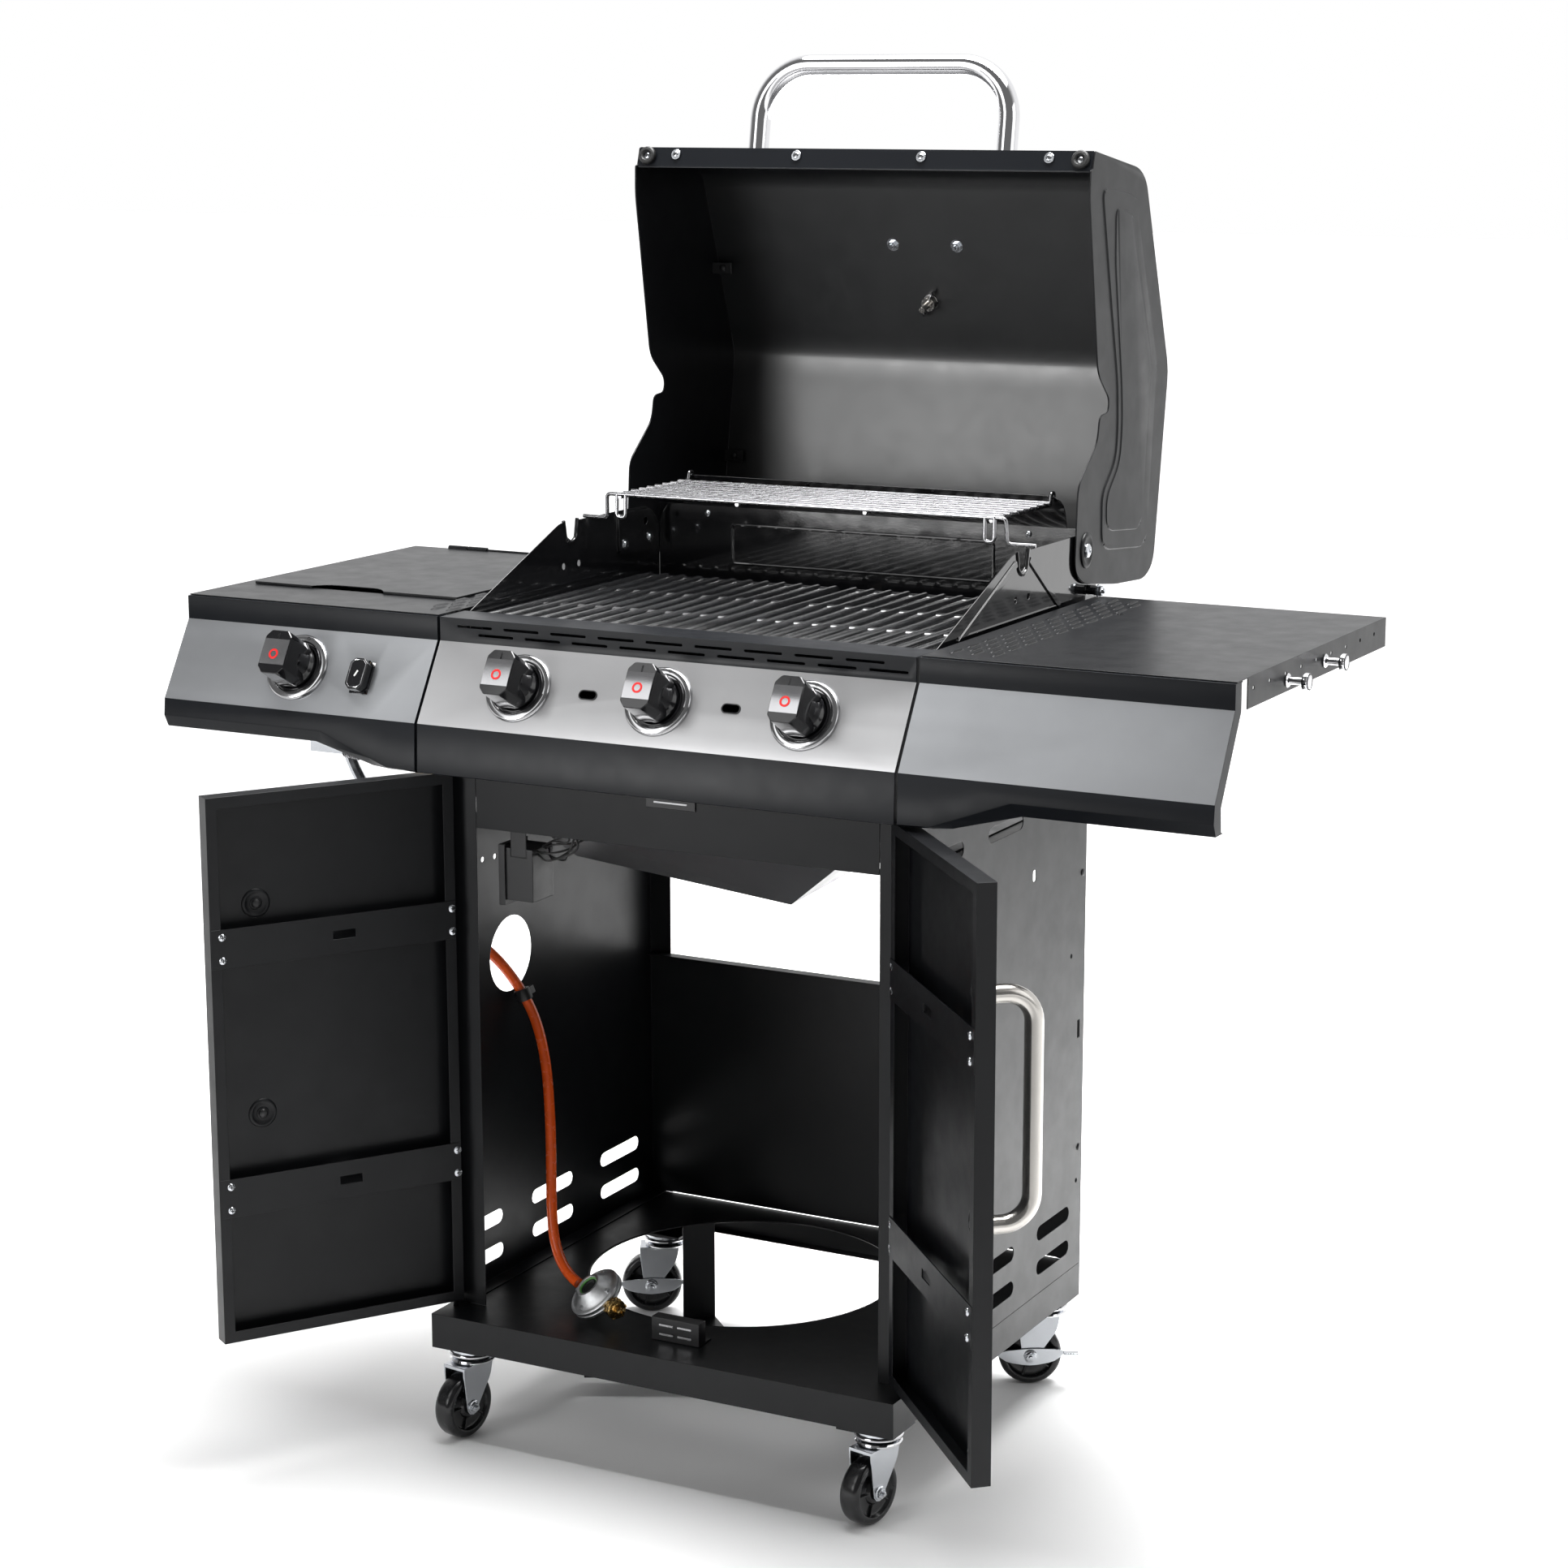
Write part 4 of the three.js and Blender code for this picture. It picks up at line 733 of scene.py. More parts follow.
def band_slots():
    parts = []
    for row, z in enumerate((957.6, 949.0)):
        for k in range(9):
            x = -253 + k * 61.5 + 28 * row
            if abs(x) < 272:
                parts.append(moved(prism(slot_outline(x, z, 46, 2.6), -6, 6), TO_FRONT))
    return merged(*parts)


cutter("band_slots", "console_center", band_slots())


def crowned(outline, low, high, radius):
    """A plate on an outline whose top is a shallow cylinder across y."""
    rows, reach = 12, max(p.y for p in outline)
    levels = [reach - 2 * reach * k / rows for k in range(rows + 1)]
    lines = []
    for y in levels:
        half = max(
            (abs(a.x + (b.x - a.x) * (y - a.y) / (b.y - a.y)) for a,
             b in zip(outline, outline[1:] + outline[:1])
             if a.y != b.y and min(a.y, b.y) - 1e-6 <= y <= max(a.y, b.y) + 1e-6), default=6)
        top = high - y * y / (2 * radius)
        lines.append([Vector((x, y, z)) for x, z in ((-half, low), (-half, top), (half, top), (half, low))])
    return bridged(lines)


def knob(where, x):
    place = on_slant(x)
    body = lathe([(0, 4.8), (25, 4.8), (26, 5.6), (26, 8.2), (25.2, 9.6), (23.4, 11.5), (22.4, 14),
                  (21.4, 20), (20.6, 27),
                  (19.6, 29.6), (17, 30.6), (0, 30.8)], 72)
    octagon = [(-18, -18.5), (-11, -26.5), (11, -26.5), (18, -18.5), (18, 18.5), (11, 26.5), (-11, 26.5),
               (-18, 18.5)]
    face = rounded([(x0, y0, 2.2) for x0, y0 in octagon], 3)
    grip = prism(face, 9, 50.6, 0.9)
    for p in grip[0]:
        p.x *= 1 + 0.07 * (50.6 - p.z) / 41
    skin = merged(body, grip)
    add("knob_body_" + where, where + "_knob", moved(skin, place), "gloss_plastic", ["knob_" + where],
        angle=28)
    plate = offset([Vector(p) for p in face], 1.1)
    add("knob_face_" + where, where + "_knob", moved(crowned(plate, 50.0, 51.4, 150), place), "knob_face",
        angle=60)
    marks = prism(slot_outline(0, 0, 9.5, 2.6), 49.9, 50.6, 0.1)
    turn = shift(0, 18.6, 0) @ spin(90)
    add("knob_pointer_" + where, where + "_knob", moved(marks, place @ turn), "plastic")
    ring = lathe([(3.8, 50.8), (6.2, 50.8), (6.2, 51.6), (3.8, 51.6), (3.8, 50.8)], 32)
    add("knob_mark_" + where, where + "_knob", moved(ring, place @ shift(0, -3, 0)), "red")
    bezel = lathe([
        (28.0, 0.1), (40.0, 0.1), (40.4, 0.8), (40.2, 2.2), (39.2, 3.6), (37.6, 4.4), (35.2, 4.8), (32.6,
            4.9), (31.6, 4.4),
        (31.2, 3.0), (30.6, 2.2), (29.4, 2.0), (28.4, 1.6), (28.0, 0.1),
    ], 96)
    add("bezel_" + where, "cart", moved(bezel, place), "bezel")
    inner = lathe([(6.8, 0.15), (28.6, 0.15), (29.6, 2.1), (28.8, 3.4), (27.8, 3.6), (27.1, 2.6), (26.8, 0.6),
                   (6.8, 0.5), (6.8, 0.15)], 96)
    add("bezel_cup_" + where, "cart", moved(inner, place), "gloss_plastic")
    circle = lathe([(1.5, 4.8), (2.1, 4.8), (2.1, 5.05), (1.5, 5.05), (1.5, 4.8)], 24)
    angle = math.radians(78)
    at_mark = shift(35.6 * math.cos(angle), 35.6 * math.sin(angle), 0)
    arc = []
    for k in range(13):
        a = math.radians(-8 - 46 * k / 12)
        arc.append((35.4 * math.cos(a), 35.4 * math.sin(a), 4.86))
    sweep = tube(arc, [0.25 + 0.75 * (1 - k / 12) for k in range(13)], 6)
    marks = merged(moved(circle, at_mark), sweep)
    add("bezel_marks_" + where, "cart", moved(marks, place), "plastic")


for where, x in KNOBS.items():
    knob(where, x)


def igniter():
    place = on_slant(IGNITER["x"], IGNITER["z"])
    half, tall, corner = 13.2, 20.2, 6.6
    shape = [(-half + corner, -tall), (half - corner, -tall), (half, -tall + corner), (half, tall - corner),
             (half - corner, tall), (-half + corner, tall), (-half, tall - corner), (-half, -tall + corner)]
    outer = [Vector(p) for p in shape]
    hole = offset(outer, 0.95)
    add("igniter_frame", "cart", moved(ring_prism(outer, hole, 0.1, 3.2), place), "gloss_plastic")
    line = [Vector((p.x, p.y, 14.0)) for p in offset(outer, 3.6)]
    add("igniter_rim", "igniter", moved(tube(line, 0.35, 8, closed=True), place), "chrome")
    dash = moved(prism(slot_outline(0, 0, 8, 2.2), 13.9, 14.5, 0.2), spin(68))
    add("igniter_mark", "igniter", moved(dash, place), "dial")


def ring_prism(outer, inner, low, high):
    """A flat ring between two outlines of equal length."""
    rows = [(outer, low), (outer, high), (inner, high), (inner, low)]
    return bridged([[Vector((p.x, p.y, z)) for p in row] for row, z in rows], loop=True)


igniter()
for where, x in (("left", -90), ("right", 90)):
    outline = [Vector(p) for p in slot_outline(0, 0, 23.6, 11.6, 8)]
    add("window_rim_" + where, "cart", moved(ring_prism(outline, offset(outline, 1.2), 0.05, 0.9),
                                             on_slant(x)), "plastic")

# ---------------------------------------------------------------- bent bars
def bail(half, foot, reach, bend, place, steps=14):
    points = [place(-half, foot), place(-half, reach - bend)]
    for side, start, end in ((-1, 180, 90), (1, 90, 0)):
        for k in range(steps + 1):
            angle = math.radians(start + (end - start) * k / steps)
            points.append(place(side * (half - bend) + bend * math.cos(angle),
                                reach - bend + bend * math.sin(angle)))
    points += [place(half, foot)]
    return points


LID_BACK = [(460, 1479.6), (592, 1458), (613, 1444), (692, 1224), (693, 1206), (658, 984.5), (630, 970),
            (541, 975), (497, 980)]
FACE_RUN = (Vector(LID_BACK[1]) - Vector(LID_BACK[0])).normalized()


def lid_handle():
    root = Vector(LID_BACK[0]) + FACE_RUN * 52
    outward = Vector((-FACE_RUN.y, FACE_RUN.x))

    def place(x, up):
        return x, root.x + outward.x * up, root.y + outward.y * up

    shape = tube(bail(165, 0.3, 108.7, 65, place), 12.5, 40)
    feet = []
    for x in (-165, 165):
        m = frame_of(place(x, 0.2), (0, outward.x, outward.y))
        feet.append(moved(lathe([(12.6, 0), (16.5, 0), (16.5, 1.0), (15.5, 1.8), (12.6, 2.2), (12.6, 0)], 40),
                          m))
    add("lid_handle_tube", "lid", shape, "chrome", ["lid_handle"])
    add("lid_handle_feet", "lid", merged(*feet), "chrome")
    for x, where in ((-165, "left"), (165, "right")):
        spot = place(x, 0)
        inside = Vector((0, -outward.x, -outward.y))
        m = frame_of(Vector(spot) + inside * 1.4, inside)
        add("lid_handle_bolt_" + where, "lid",
            moved(merged(washer(9, 3), moved(nut(6.5, 5), shift(0, 0, 1.2))), m), "zinc")


lid_handle()


def door_handle(side):
    middle, half = 538, 122

    def place(up, out):
        return 227, -10.7 - out, middle + up

    turn = on_door(side)
    shape = moved(tube(bail(half, 0.3, 61, 31, place, 10), 10, 36), turn)
    body = side + "_door"
    add("door_handle_tube_" + side, body, shape, "stainless", ["door_handle_" + side])
    rings, screws, dishes = [], [], []
    for z in (416, 660):
        out = frame_of((227, -10.7, z), (0, -1, 0))
        rings.append(moved(lathe([(10.1, 0), (13.4, 0), (13.4, 0.9), (12.6, 1.6), (10.1, 1.8), (10.1, 0)],
                                 40), out))
        inner = frame_of((227, -9.45, z + 2), (0, 1, 0))
        dishes.append(moved(lathe([(0, 0), (17, 0), (16.6, 0.7), (15.4, 1.3), (13.6, 1.5), (12.4, 1.0),
                                   (11.4, 0.5), (7.6, 0.4), (7.2, 1.1), (6.2, 1.5), (0, 1.5)], 48), inner))
        screws.append(moved(screw_head(5.6, 3.2), inner @ shift(0, 0, 1.2)))
    add("door_handle_rings_" + side, body, moved(merged(*rings), turn), "stainless")
    add("door_dishes_" + side, body, moved(merged(*dishes), turn), "powder")
    add("door_handle_screws_" + side, body, moved(merged(*screws), turn), "plastic")
    inward = turn.to_3x3() @ Vector((0, 1, 0))
    for edge, w, height in (("hinge", -1.8, 1.1), ("free", 275, 2.4)):
        spots = [(turn @ Vector((w, 11.7, z)), inward) for z in (632.7, 606, 343.8, 316.3)]
        fixings("door_screws_" + edge + "_" + side, body, spots, 4.6, height)


door_handle("left")
door_handle("right")

# ---------------------------------------------------------------- lid
def sheet_profile(line, thickness):
    """A closed outline: the line, and the same line moved to its right."""
    shifted = []
    for i, p in enumerate(line):
        a, b = line[max(i - 1, 0)], line[min(i + 1, len(line) - 1)]
        d = (b - a).normalized()
        shifted.append(p + Vector((d.y, -d.x)) * thickness)
    return line + shifted[::-1]


def open_rounded(corners, steps=6):
    """An open line through (x, y, radius) corners."""
    points = [Vector(corners[0][:2])]
    for i in range(1, len(corners) - 1):
        here = Vector(corners[i][:2])
        radius = corners[i][2]
        ways = [Vector(corners[i + step][:2]) - here for step in (-1, 1)]
        points += corner_curve(here, *[w.normalized() * min(radius, w.length * 0.49) for w in ways], steps)
    points.append(Vector(corners[-1][:2]))
    return points


def across(outline, x0, x1):
    """An outline in (y, z) pushed from x0 to x1."""
    return moved(prism(outline, x0, x1), TO_YZ)


def lid_shell():
    radii = [0, 16, 16, 22, 22, 18, 18, 24, 0]
    line = open_rounded([(*p, r) for p, r in zip(LID_BACK, radii)], 8)
    add("lid_shell", "lid", across(sheet_profile(line, 1.2), -298.5, 298.5), "liner", ["lid_skin"], angle=30)


lid_shell()

CAP_EDGE = [
    (451, 1460, 2), (457.5, 1481.2, 2), (592.6, 1459.4, 14), (614.5, 1444.6, 14), (693.4, 1224.4, 10), (694.4,
        1206, 10),
    (659.4, 983.6, 20), (630, 968.6, 14), (541, 973.6, 10), (445, 986, 12), (417, 1002, 16), (424, 1102, 14),
    (479, 1148, 12), (485, 1178, 8), (510, 1180, 8), (512, 1196, 8), (477, 1227, 14), (445, 1426, 12), (446,
        1460, 3),
]
CAP_STEP = [
    (480, 1430, 8), (486, 1440, 8), (566, 1431, 14), (596, 1420, 16), (655, 1236, 14), (656, 1212, 14), (636,
        1020, 14),
    (622, 1008, 14), (506, 1018, 14), (492, 1030, 14), (491, 1086, 16), (531, 1122, 18), (536, 1160,
        18), (533, 1212, 18),
    (506, 1320, 18),
]
CAP_POCKET = [
    (517, 1408, 7), (523, 1416, 7), (556, 1411, 12), (574, 1402, 14), (634, 1238, 12), (634, 1214, 12), (616,
        1044, 12),
    (604, 1032, 12), (514, 1040, 11), (503, 1050, 11), (503, 1082, 14), (541, 1118, 18), (547, 1160,
        18), (544, 1206, 18),
    (518, 1352, 16),
]


def lid_cap(side):
    sign = -1 if side == "left" else 1
    turn = mirror(sign) @ TO_YZ
    edge = rounded(CAP_EDGE, 5)
    plate = prism(edge, 298.9, 300.4, 0.5)
    step = prism(rounded(CAP_STEP, 5), 300.0, 301.9, 1.8)
    panel = prism(rounded(CAP_POCKET, 5), 301.0, 303.0, 1.1)
    shape = merged(plate, step, panel)
    add("lid_end_" + side, "lid", moved(shape, turn), "powder", ["lid_cap_" + side], angle=32)
    hem = tube([(p.x, p.y, 299.2) for p in offset(edge, 0.8)], 0.9, 8, closed=True)
    add("lid_hem_" + side, "lid", moved(hem, turn), "powder")
    pivot = shift(sign * 300.6, 449, 1025) @ spin(sign * 90, "Y")
    dish = lathe([(0, 0), (17, 0), (16.4, 1.4), (14.6, 2.4), (12.8, 2.6), (11.4, 1.8), (8.2, 1.2), (0, 1.2)],
                 48)
    oval = moved(dish, Matrix.Scale(1.25, 4, Vector((1, 0, 0))))
    add("lid_pivot_dish_" + side, "lid", moved(oval, pivot), "powder")
    bolt = lathe([(0, 0), (8.4, 0), (8.4, 1.4), (7.6, 2.6), (5.4, 3.6), (2.4, 4.0), (2.2, 2.8), (0, 2.8)], 40)
    add("lid_pivot_bolt_" + side, "lid", moved(bolt, pivot @ shift(0, 0, 1.0)), "zinc")
    inside = []
    for y, z in ((644, 1327), (672, 1086)):
        clip = block(-14, 14, -7, 7, 0, 1.6, 0.5)
        head = lathe([(0, 0), (4.4, 0), (4, 1.6), (2.6, 2.4), (0, 2.6)], 24)
        inside.append(moved(clip, shift(sign * 286, y - 6, z) @ TO_FRONT))
        inside.append(moved(head, shift(sign * 284, y - 8, z) @ TO_FRONT))
    add("lid_corner_clips_" + side, "lid", merged(*inside), "plastic")


lid_cap("left")
lid_cap("right")


def lid_trim():
    out = Vector((0, -0.951, 0.31))

    def strip_y(z):
        """Where the lid's front strip is at a height."""
        return 449.6 + (z - 1457.5) * 7.8 / 23.9

    bumpers = []
    for x in (-285, 285):
        m = frame_of((x, strip_y(1471) - 1.3, 1471), out)
        ring = lathe([(4.5, 0), (10.5, 0), (11, 1), (10.6, 4.2), (9.2, 5.6), (6.6, 6), (5.4, 5), (4.5, 3),
                      (4.5, 0)], 40)
        bumpers.append(moved(ring, m))
    add("lid_bumpers", "lid", merged(*bumpers), "rubber")
    fixings("lid_bumper_screws", "lid", [((x, strip_y(1471) - 2.6, 1471), out) for x in (-285, 285)], 4.8,
            2.6)
    fixings("lid_strip_screws", "lid",
            [((x, strip_y(1473) - 1.4, 1473), out) for x in (-246.5, -82, 82.5, 245)], 4.4, 2.4, ring=6.2)
    panel_in = Vector((0, -0.9412, -0.338))
    spots = []
    for x in (-46, 41):
        m = frame_of((x, 642.3, 1361.5), panel_in)
        spots.append(moved(merged(washer(8.5, 3, 1.4), moved(nut(5.6, 4.6), shift(0, 0, 1.2))), m))
    add("lid_badge_nuts", "lid", merged(*spots), "zinc")
    m = frame_of((-5, 666.4, 1291.2), panel_in, (1, 0, 0))
    wing = [moved(lathe([(0, 0), (9.5, 0), (9.5, 1.2), (6.4, 1.6), (6.0, 8), (5, 9.5), (3.4, 9.6), (3.4, 22),
                         (2.6, 23), (0, 23)], 32), m)]
    for sign in (-1, 1):
        leaf = rounded([(0, -2, 1), (15, -7, 4), (17, -2, 4), (14, 5, 4), (4, 6, 2)], 4)
        flat = moved(prism(leaf, -1.1, 1.1, 0.5, both=True), TO_FRONT)
        lean = spin(62) @ mirror(sign)
        wing.append(moved(flat, m @ lean @ shift(3, 0, 8)))
    add("lid_wing_nut", "lid", merged(*wing), "satin_metal")
    panel_out = -panel_in
    m = frame_of((-5, 667.8, 1291.5), panel_out, (1, 0, 0))
    add("gauge_dial", "lid", moved(lathe([(0, 12.6), (33, 12.6), (33, 13.3), (0, 13.3)], 64), m), "dial")
    ticks = []
    for k in range(21):
        a = math.radians(-60 + 300 * k / 20 - 90)
        long = 6 if k % 5 == 0 else 3.4
        tick = block(31 - long, 31, -0.4, 0.4, 13.2, 13.6, 0.1)
        ticks.append(moved(tick, m @ Matrix.Rotation(a, 4, "Z")))
    needle = moved(prism([(-6, -1.4), (27, -0.4), (27, 0.4), (-6, 1.4)], 13.8, 14.4, 0.2), m @ spin(150))
    add("gauge_marks", "lid",
        merged(*ticks, needle, moved(lathe([(0, 13.2), (3.4, 13.2), (3.0, 15), (0, 15.2)], 24),
                                     m)), "plastic")
    rim = lathe([(33, 12.4), (38.6, 11.4), (39.4, 12.2), (38.8, 14.4), (36.6, 15.4), (34.2, 14.9), (33, 13.2),
                 (33, 12.4)], 64)
    add("gauge_rim", "lid", moved(rim, m), "chrome")
    badge = rounded([(-58, -10, 4), (58, -10, 4), (58, 10, 4), (-58, 10, 4)])
    m = frame_of((-2.5, 642.9, 1361.8), panel_out, (1, 0, 0))
    add("lid_plate", "lid", moved(prism(badge, 0.2, 2.4, 0.8), m), "satin_metal")


lid_trim()

# ---------------------------------------------------------------- warming rack, grates and firebox trim
RACK_Z, RACK_FRONT, RACK_BACK = 1076, 307, 459


def fillet(points, radius, steps=4):
    """The same path with its corners rounded."""
    p = [Vector(q) for q in points]
    path = [p[0]]
    for i in range(1, len(p) - 1):
        u, v = p[i - 1] - p[i], p[i + 1] - p[i]
        reach = min(radius, u.length * 0.45, v.length * 0.45)
        path += corner_curve(p[i], u.normalized() * reach, v.normalized() * reach, steps)
    path.append(p[-1])
    return path


def warming_rack():
    wire = 2.4
    parts = []
    for k in range(9):
        y = RACK_FRONT + 19 * k
        parts.append(tube([(-250, y, RACK_Z), (250, y, RACK_Z)], wire if k in (0, 8) else 1.9, 12))
    brow = 1044 + wire + 0.3
    for x in (-244, -84, 84, 244):
        parts.append(tube([(x, RACK_FRONT - 1, RACK_Z - 3.4), (x, RACK_BACK + 14, RACK_Z - 3.4)], wire, 12))
    for x in (-244, 244):
        sign = math.copysign(1, x)
        hook = [(x, RACK_BACK + 13, RACK_Z - 3.4), (x, RACK_BACK + 16, 1085.8), (x, RACK_BACK + 23.6, 1085.8),
                (x, RACK_BACK + 23.6, 1078)]
        arm = [(sign * 248, RACK_FRONT, RACK_Z), (sign * 262, RACK_FRONT, RACK_Z),
               (sign * 263, RACK_FRONT + 2, brow), (sign * 297.4, RACK_FRONT + 4, brow)]
        loop = [(sign * 236, RACK_FRONT, RACK_Z), (sign * 236, RACK_FRONT - 1, brow + 2),
                (sign * 248, RACK_FRONT - 1, brow + 2), (sign * 248, RACK_FRONT, RACK_Z)]
        for path, radius in ((hook, 3), (arm, 6), (loop, 5)):
            parts.append(tube(fillet(path, radius), wire, 12))
    add("rack_wires", "cart", merged(*parts), "wire", ["warming_rack"])


warming_rack()


def grate(side, first, bars):
    """Bars with round tops, joined by four low ribs."""
    top, pitch, front, back = 962.2, 23.5, 58, 450
    arch = [(-6.2, -9), (-6.1, -6.2), (-5.5, -3.6), (-4.3, -1.7), (-2.3, -0.4), (0, 0), (2.3, -0.4),
            (4.3, -1.7), (5.5, -3.6),
            (6.1, -6.2), (6.2, -9), (4.5, -11), (-4.5, -11)]
    rows = [(front, 0.5), (front + 1.2, 0.8), (front + 4, 1), (back - 4, 1), (back - 1.2, 0.8), (back, 0.5)]
    shapes = []
    for k in range(bars):
        x = first + k * pitch
        shapes.append(bridged([[Vector((x + px * share, y, top - 6 + (pz + 6) * share)) for px, pz in arch]
                               for y, share in rows]))
    add("grate_bars_" + side, "cart", merged(*shapes), "iron", ["grate_" + side], angle=50)
    last = first + (bars - 1) * pitch
    crest = [(-8, -9), (-7.4, -6.4), (-6, -4.4), (-4, -3.1), (-2, -2.5), (0, -2.3), (2, -2.5), (4, -3.1),
             (6, -4.4),
             (7.4, -6.4), (8, -9), (3, -16.5), (-3, -16.5)]
    ribs = [across([(y + py, top + pz) for py, pz in crest], first - 4, last + 4) for y in (64, 193, 321,
        443)]
    add("grate_ribs_" + side, "cart", merged(*ribs), "iron", angle=50)


grate("left", -284.4, 12)
grate("right", 1.4, 13)


def firebox_trim():
    for sign, side in ((-1, "left"), (1, "right")):
        x = sign * 295.9
        u = [(x, 262, 1046), (x, 264.5, 1034), (x, 266, 1026), (x, 270, 1020.5), (x, 277.5, 1018.4),
             (x, 285, 1020.5),
             (x, 289, 1026), (x, 290.5, 1034), (x, 293, 1046)]
        parts = [tube(smooth_path(u, 3), 2.4, 10)]
        parts.append(tube([(x, 108, 970.5), (x, 380, 970.5)], 1.6, 8))
        add("firebox_bead_" + side, "cart", merged(*parts), "porcelain")
        spots = [((sign * 291.2, y, z), (-sign, 0, 0)) for y, z in ((398, 1002), (458, 1004))]
        fixings("firebox_screws_" + side, "cart", spots, 4.6, 3, ring=7)
        m = frame_of((sign * 309.6, 464, 976.5), (sign, 0, 0))
        add("stop_nut_" + side, "cart",
            moved(merged(lathe([(0, 0), (7.4, 0), (7.4, 2), (0, 2)], 32),
                         moved(nut(6.4, 4.6), shift(0, 0, 1.6))), m), "zinc")
    frame_line = rounded([(-190, 974, 6), (165, 974, 6), (165, 1022, 6), (-190, 1022, 6)])
    bead = tube([(p.x, 487.9, p.y) for p in frame_line], 2.0, 8, closed=True)
    add("firebox_back_bead", "cart", bead, "porcelain")
    fixings("firebox_back_screws", "cart", [((x, 487.4, 1034), (0, -1, 0)) for x in (-225, 210)], 4, 2.4)


firebox_trim()

# ---------------------------------------------------------------- shelves
SHELF_TOP = 968.2


def louvres(name, x0, x1, columns, y0, y1, pitch):
    """Pressed vents: short raised lips in staggered columns, each over a dark strip of painted shade where
    its opening would be.
    """
    lips, painted_shade_slits = [], []
    for c in range(columns):
        x = x0 + (x1 - x0) * c / max(1, columns - 1)
        y = y0 + (pitch / 2 if c % 2 else 0)
        while y + 15 < y1:
            rows = []
            for t, rise in ((-15, 0.05), (-13, 1.0), (-9, 1.9), (9, 1.9), (13, 1.0), (15, 0.05)):
                line = ((-3.4, -0.1), (-1.2, rise * 0.8), (1.6, rise), (2.2, -0.1))
                rows.append([Vector((x + dx, y + t, SHELF_TOP + dz)) for dx, dz in line])
            lips.append(bridged(rows))
            # A dark strip of painted shade, where the opening under the lip would show the shadowed
            # underside.
            painted_shade_slits.append(block(x + 2.1, x + 3.5, y - 12, y + 12, SHELF_TOP - 0.3, SHELF_TOP + 0.12, 0.05))
            y += pitch
    add(name, "cart", merged(*lips), "powder", angle=50)
    add(name + "_slits", "cart", merged(*painted_shade_slits), "rubber")


louvres("vents_right", 325, 373, 5, 44, 470, 42)
louvres("vents_left", 310, 341, 4, 44, 470, 42)
for thing in ("vents_left", "vents_left_slits"):
    mesh = bpy.data.objects[thing].data
    mesh.transform(shift(-2 * ORIGIN.x * MM, 0, 0) @ mirror(-1))
    mesh.flip_normals()


def rim_holes():
    parts = []
    for k in range(9):
        parts.append(along_x(lathe([(0, -6), (2.2, -6), (2.2, 6), (0, 6)], 16), y=51 + 48 * k, z=955,
                             x=654.4))
    return merged(*parts)


cutter("rim_holes", "shelf_right", rim_holes())
pegs = []
for y, z in ((151.7, 947), (269.6, 949.8)):
    pegs.append(along_x(lathe([(0, 0), (7, 0), (7.6, 1), (6.4, 2.4), (4.3, 3.4), (4.1, 6), (4.1, 17),
                               (5.4, 18.6), (9.2, 19.4), (9.6, 21), (9.2, 23.6), (7.4, 24.8), (0,
                                   25.2)], 40), y=y, z=z, x=655.2))
add("peg_trim", "cart", merged(*pegs), "chrome")

# ---------------------------------------------------------------- cabinet details
def cabinet_trim():
    clip = frame_of((-286, 139, 492), (0.35, 0.1, -0.93))
    ring = lathe([(6.4, -7), (9.6, -7), (10, -5), (10, 5), (9.6, 7), (6.4, 7), (6.4, -7)], 32)
    tab = block(-2, 2, -22, -8, -5, 5, 0.6)
    add("hose_clip", "cart", moved(merged(ring, tab), clip), "plastic")
    rim = [(-45 + 187.3 * math.cos(a), 245 + 187.3 * math.sin(a),
            149.4) for a in [2 * math.pi * k / 120 for k in range(120)]]
    add("bottle_hole_rim", "cart", tube(rim, 1.4, 8, closed=True), "powder")
    bars = merged(*[block(x0, x1, -2.0, -0.9, z, z + 2.6, 0.2) for x0,
                    x1 in ((-21, -3), (3, 21)) for z in (168.2, 157.2)])
    add("catch_bars_low", "cart", bars, "satin_metal", slot="zinc_plate")
    upper = block(-31, 31, -2, 13, 773, 789, 0.8)
    add("catch_top", "cart", upper, "plastic")
    bars = block(-21, 21, -2.6, -1.6, 779, 781.2, 0.2)
    add("catch_bars_top", "cart", bars, "satin_metal", slot="zinc_plate")
    wires = []
    random.seed(7)
    start = Vector((-205, 50, 696))
    for k in range(7):
        a = random.uniform(-0.5, 0.5)
        reach, drop = random.uniform(45, 85), random.uniform(-38, 22)
        mid = start + Vector((reach * 0.5, random.uniform(-18, 18), drop))
        far = start + Vector((reach, random.uniform(-15, 25), drop * 0.4 + 12))
        end = Vector((-150 + 20 * k, 90 + 12 * k, 792))
        wires.append(tube(smooth_path([start + Vector((-8 + 3 * k, 2 * k - 6, 2)), mid, far,
                                       far + Vector((-20 * a, 20, 36)), end], 8), 1.25, 8))
    add("ignition_wires", "cart", merged(*wires), "rubber")
    case = merged(block(-243, -235, 24, 75, 632, 704, 0.8), block(-228, -207, 72.6, 80, 646, 690, 0.8))
    add("ignition_bracket", "cart", case, "plastic")
    coil = []
    turns, steps = 8, 14
    for k in range(turns * steps + 1):
        a = 2 * math.pi * k / steps
        coil.append((-446 + 0.187 * k, 13 + 5.5 * math.cos(a), 795.5 - 0.02 * k + 5.5 * math.sin(a)))
    add("inlet_spring", "cart", tube(coil, 1.1, 8), "wire")
    spots = [((sign * 300.7, y, z), (sign, 0, 0)) for sign in (-1, 1) for y,
             z in ((12, 640), (12, 330), (454, 640), (454, 300))]
    fixings("panel_screws", "cart", spots, 4.2, 1.6, look="powder")


cabinet_trim()

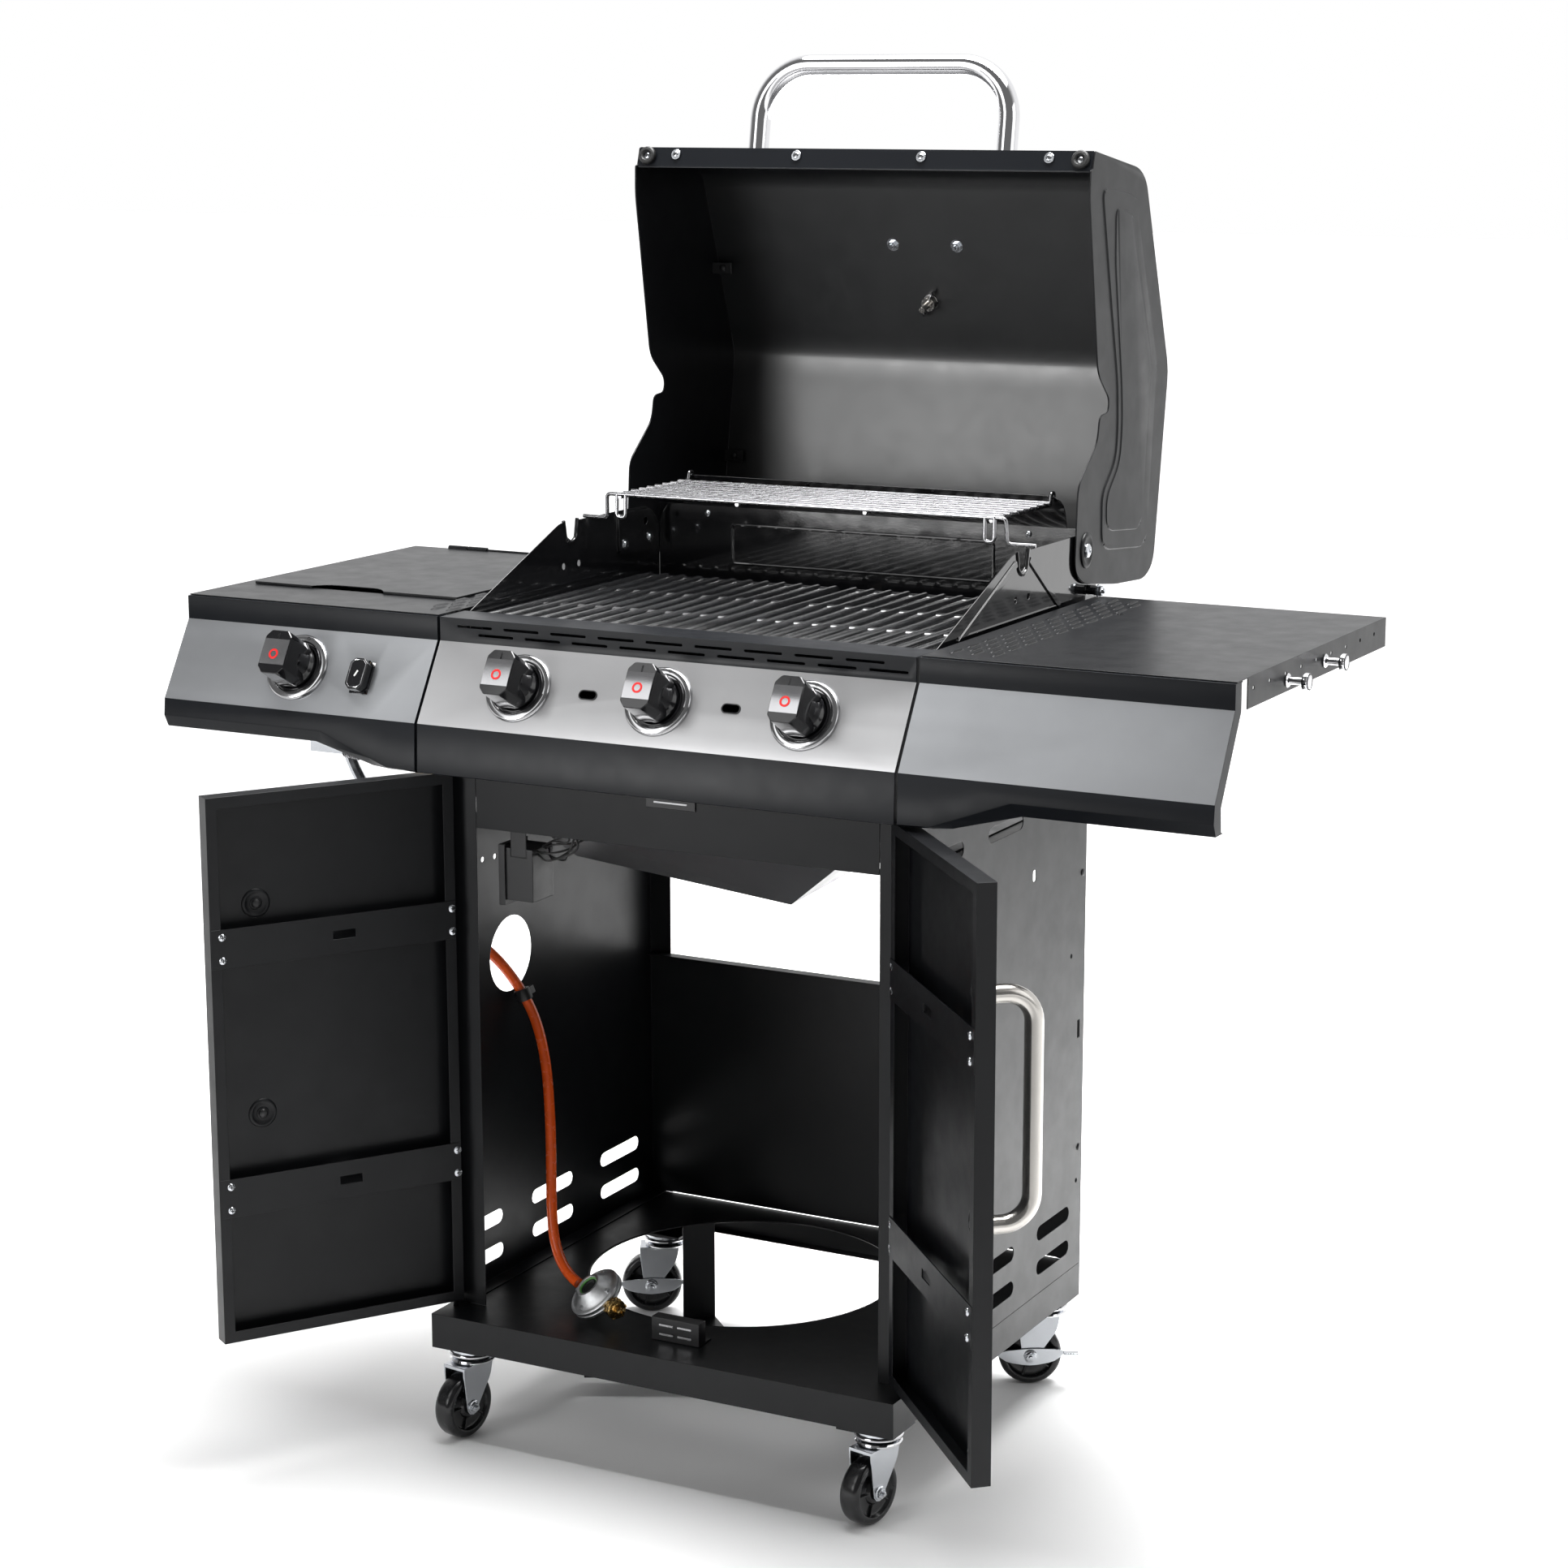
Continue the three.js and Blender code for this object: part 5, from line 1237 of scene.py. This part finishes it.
# ---------------------------------------------------------------- casters
def caster(where, x, y, heading, braked):
    place = shift(x, y, 0) @ spin(heading)
    hub = place @ shift(18, 0, 38.5) @ TO_FRONT
    half = 12.5
    profile = [
        (4.5, -half), (9.5, -half), (12.6, -half + 0.4), (13.4, -half + 1.2), (15.4, 4.6 - half), (17,
            5 - half), (25.6, 5 - half),
        (27.4, 4.2 - half), (29.4, 0.5 - half), (30.4, -half), (33.6, -half), (35.6, 0.7 - half), (37.4,
            2.6 - half),
        (38.3, 5.2 - half), (38.5, 8 - half),
    ]
    wheel = profile + [(r, -z) for r, z in reversed(profile)] + [profile[0]]
    body = where + "_wheel"
    spokes = []
    for k in range(5):
        for side in (-1, 1):
            rib = block(14, 28.5, -1.2, 1.2, min(side * 7.2, side * 10.4), max(side * 7.2, side * 10.4), 0.4)
            spokes.append(moved(rib, spin(72 * k)))
    add("wheel_" + where, body, moved(merged(lathe(wheel, 96), *spokes), hub), "wheel",
        ["caster_wheel_" + where], angle=30)
    swivel = where + "_swivel"
    race = merged(
        lathe([(15, 89), (24, 89.4), (26.2, 90.6), (26.6, 92.2), (25.4, 93.8), (22, 94.6), (15, 94.6),
               (15, 89)], 56),
        lathe([(15, 97), (25, 97), (27.4, 98.2), (27.8, 100), (26.6, 101.6), (22, 102.6), (15, 102.6),
               (15, 97)], 56),
    )
    add("race_" + where, swivel, moved(race, place), "chrome", slot="zinc_plate")
    nut_y = 19 if braked else 16
    for side, reach in ((-1, 16), (1, nut_y)):
        m = frame_of(place @ Vector((18, side * reach, 38.5)), place.to_3x3() @ Vector((0, side, 0)))
        ends = merged(lathe([(0, 0), (8.2, 0), (8.2, 0.9), (7.6, 1.3), (0, 1.4)], 32),
                      moved(nut(5.8, 4), shift(0, 0, 0.8)))
        add("axle_%s_%s" % ("in" if side < 0 else "out", where), swivel, moved(ends, m), "zinc")


for where, x, y, heading, braked in (("front_left", -266.5, -16, -99, False),
                                     ("front_right", 266.5, -16, -102, False),
                                     ("rear_left", -266.5, 439, 208, True), ("rear_right", 266.5, 439, 208,
                                                                             True)):
    caster(where, x, y, heading, braked)
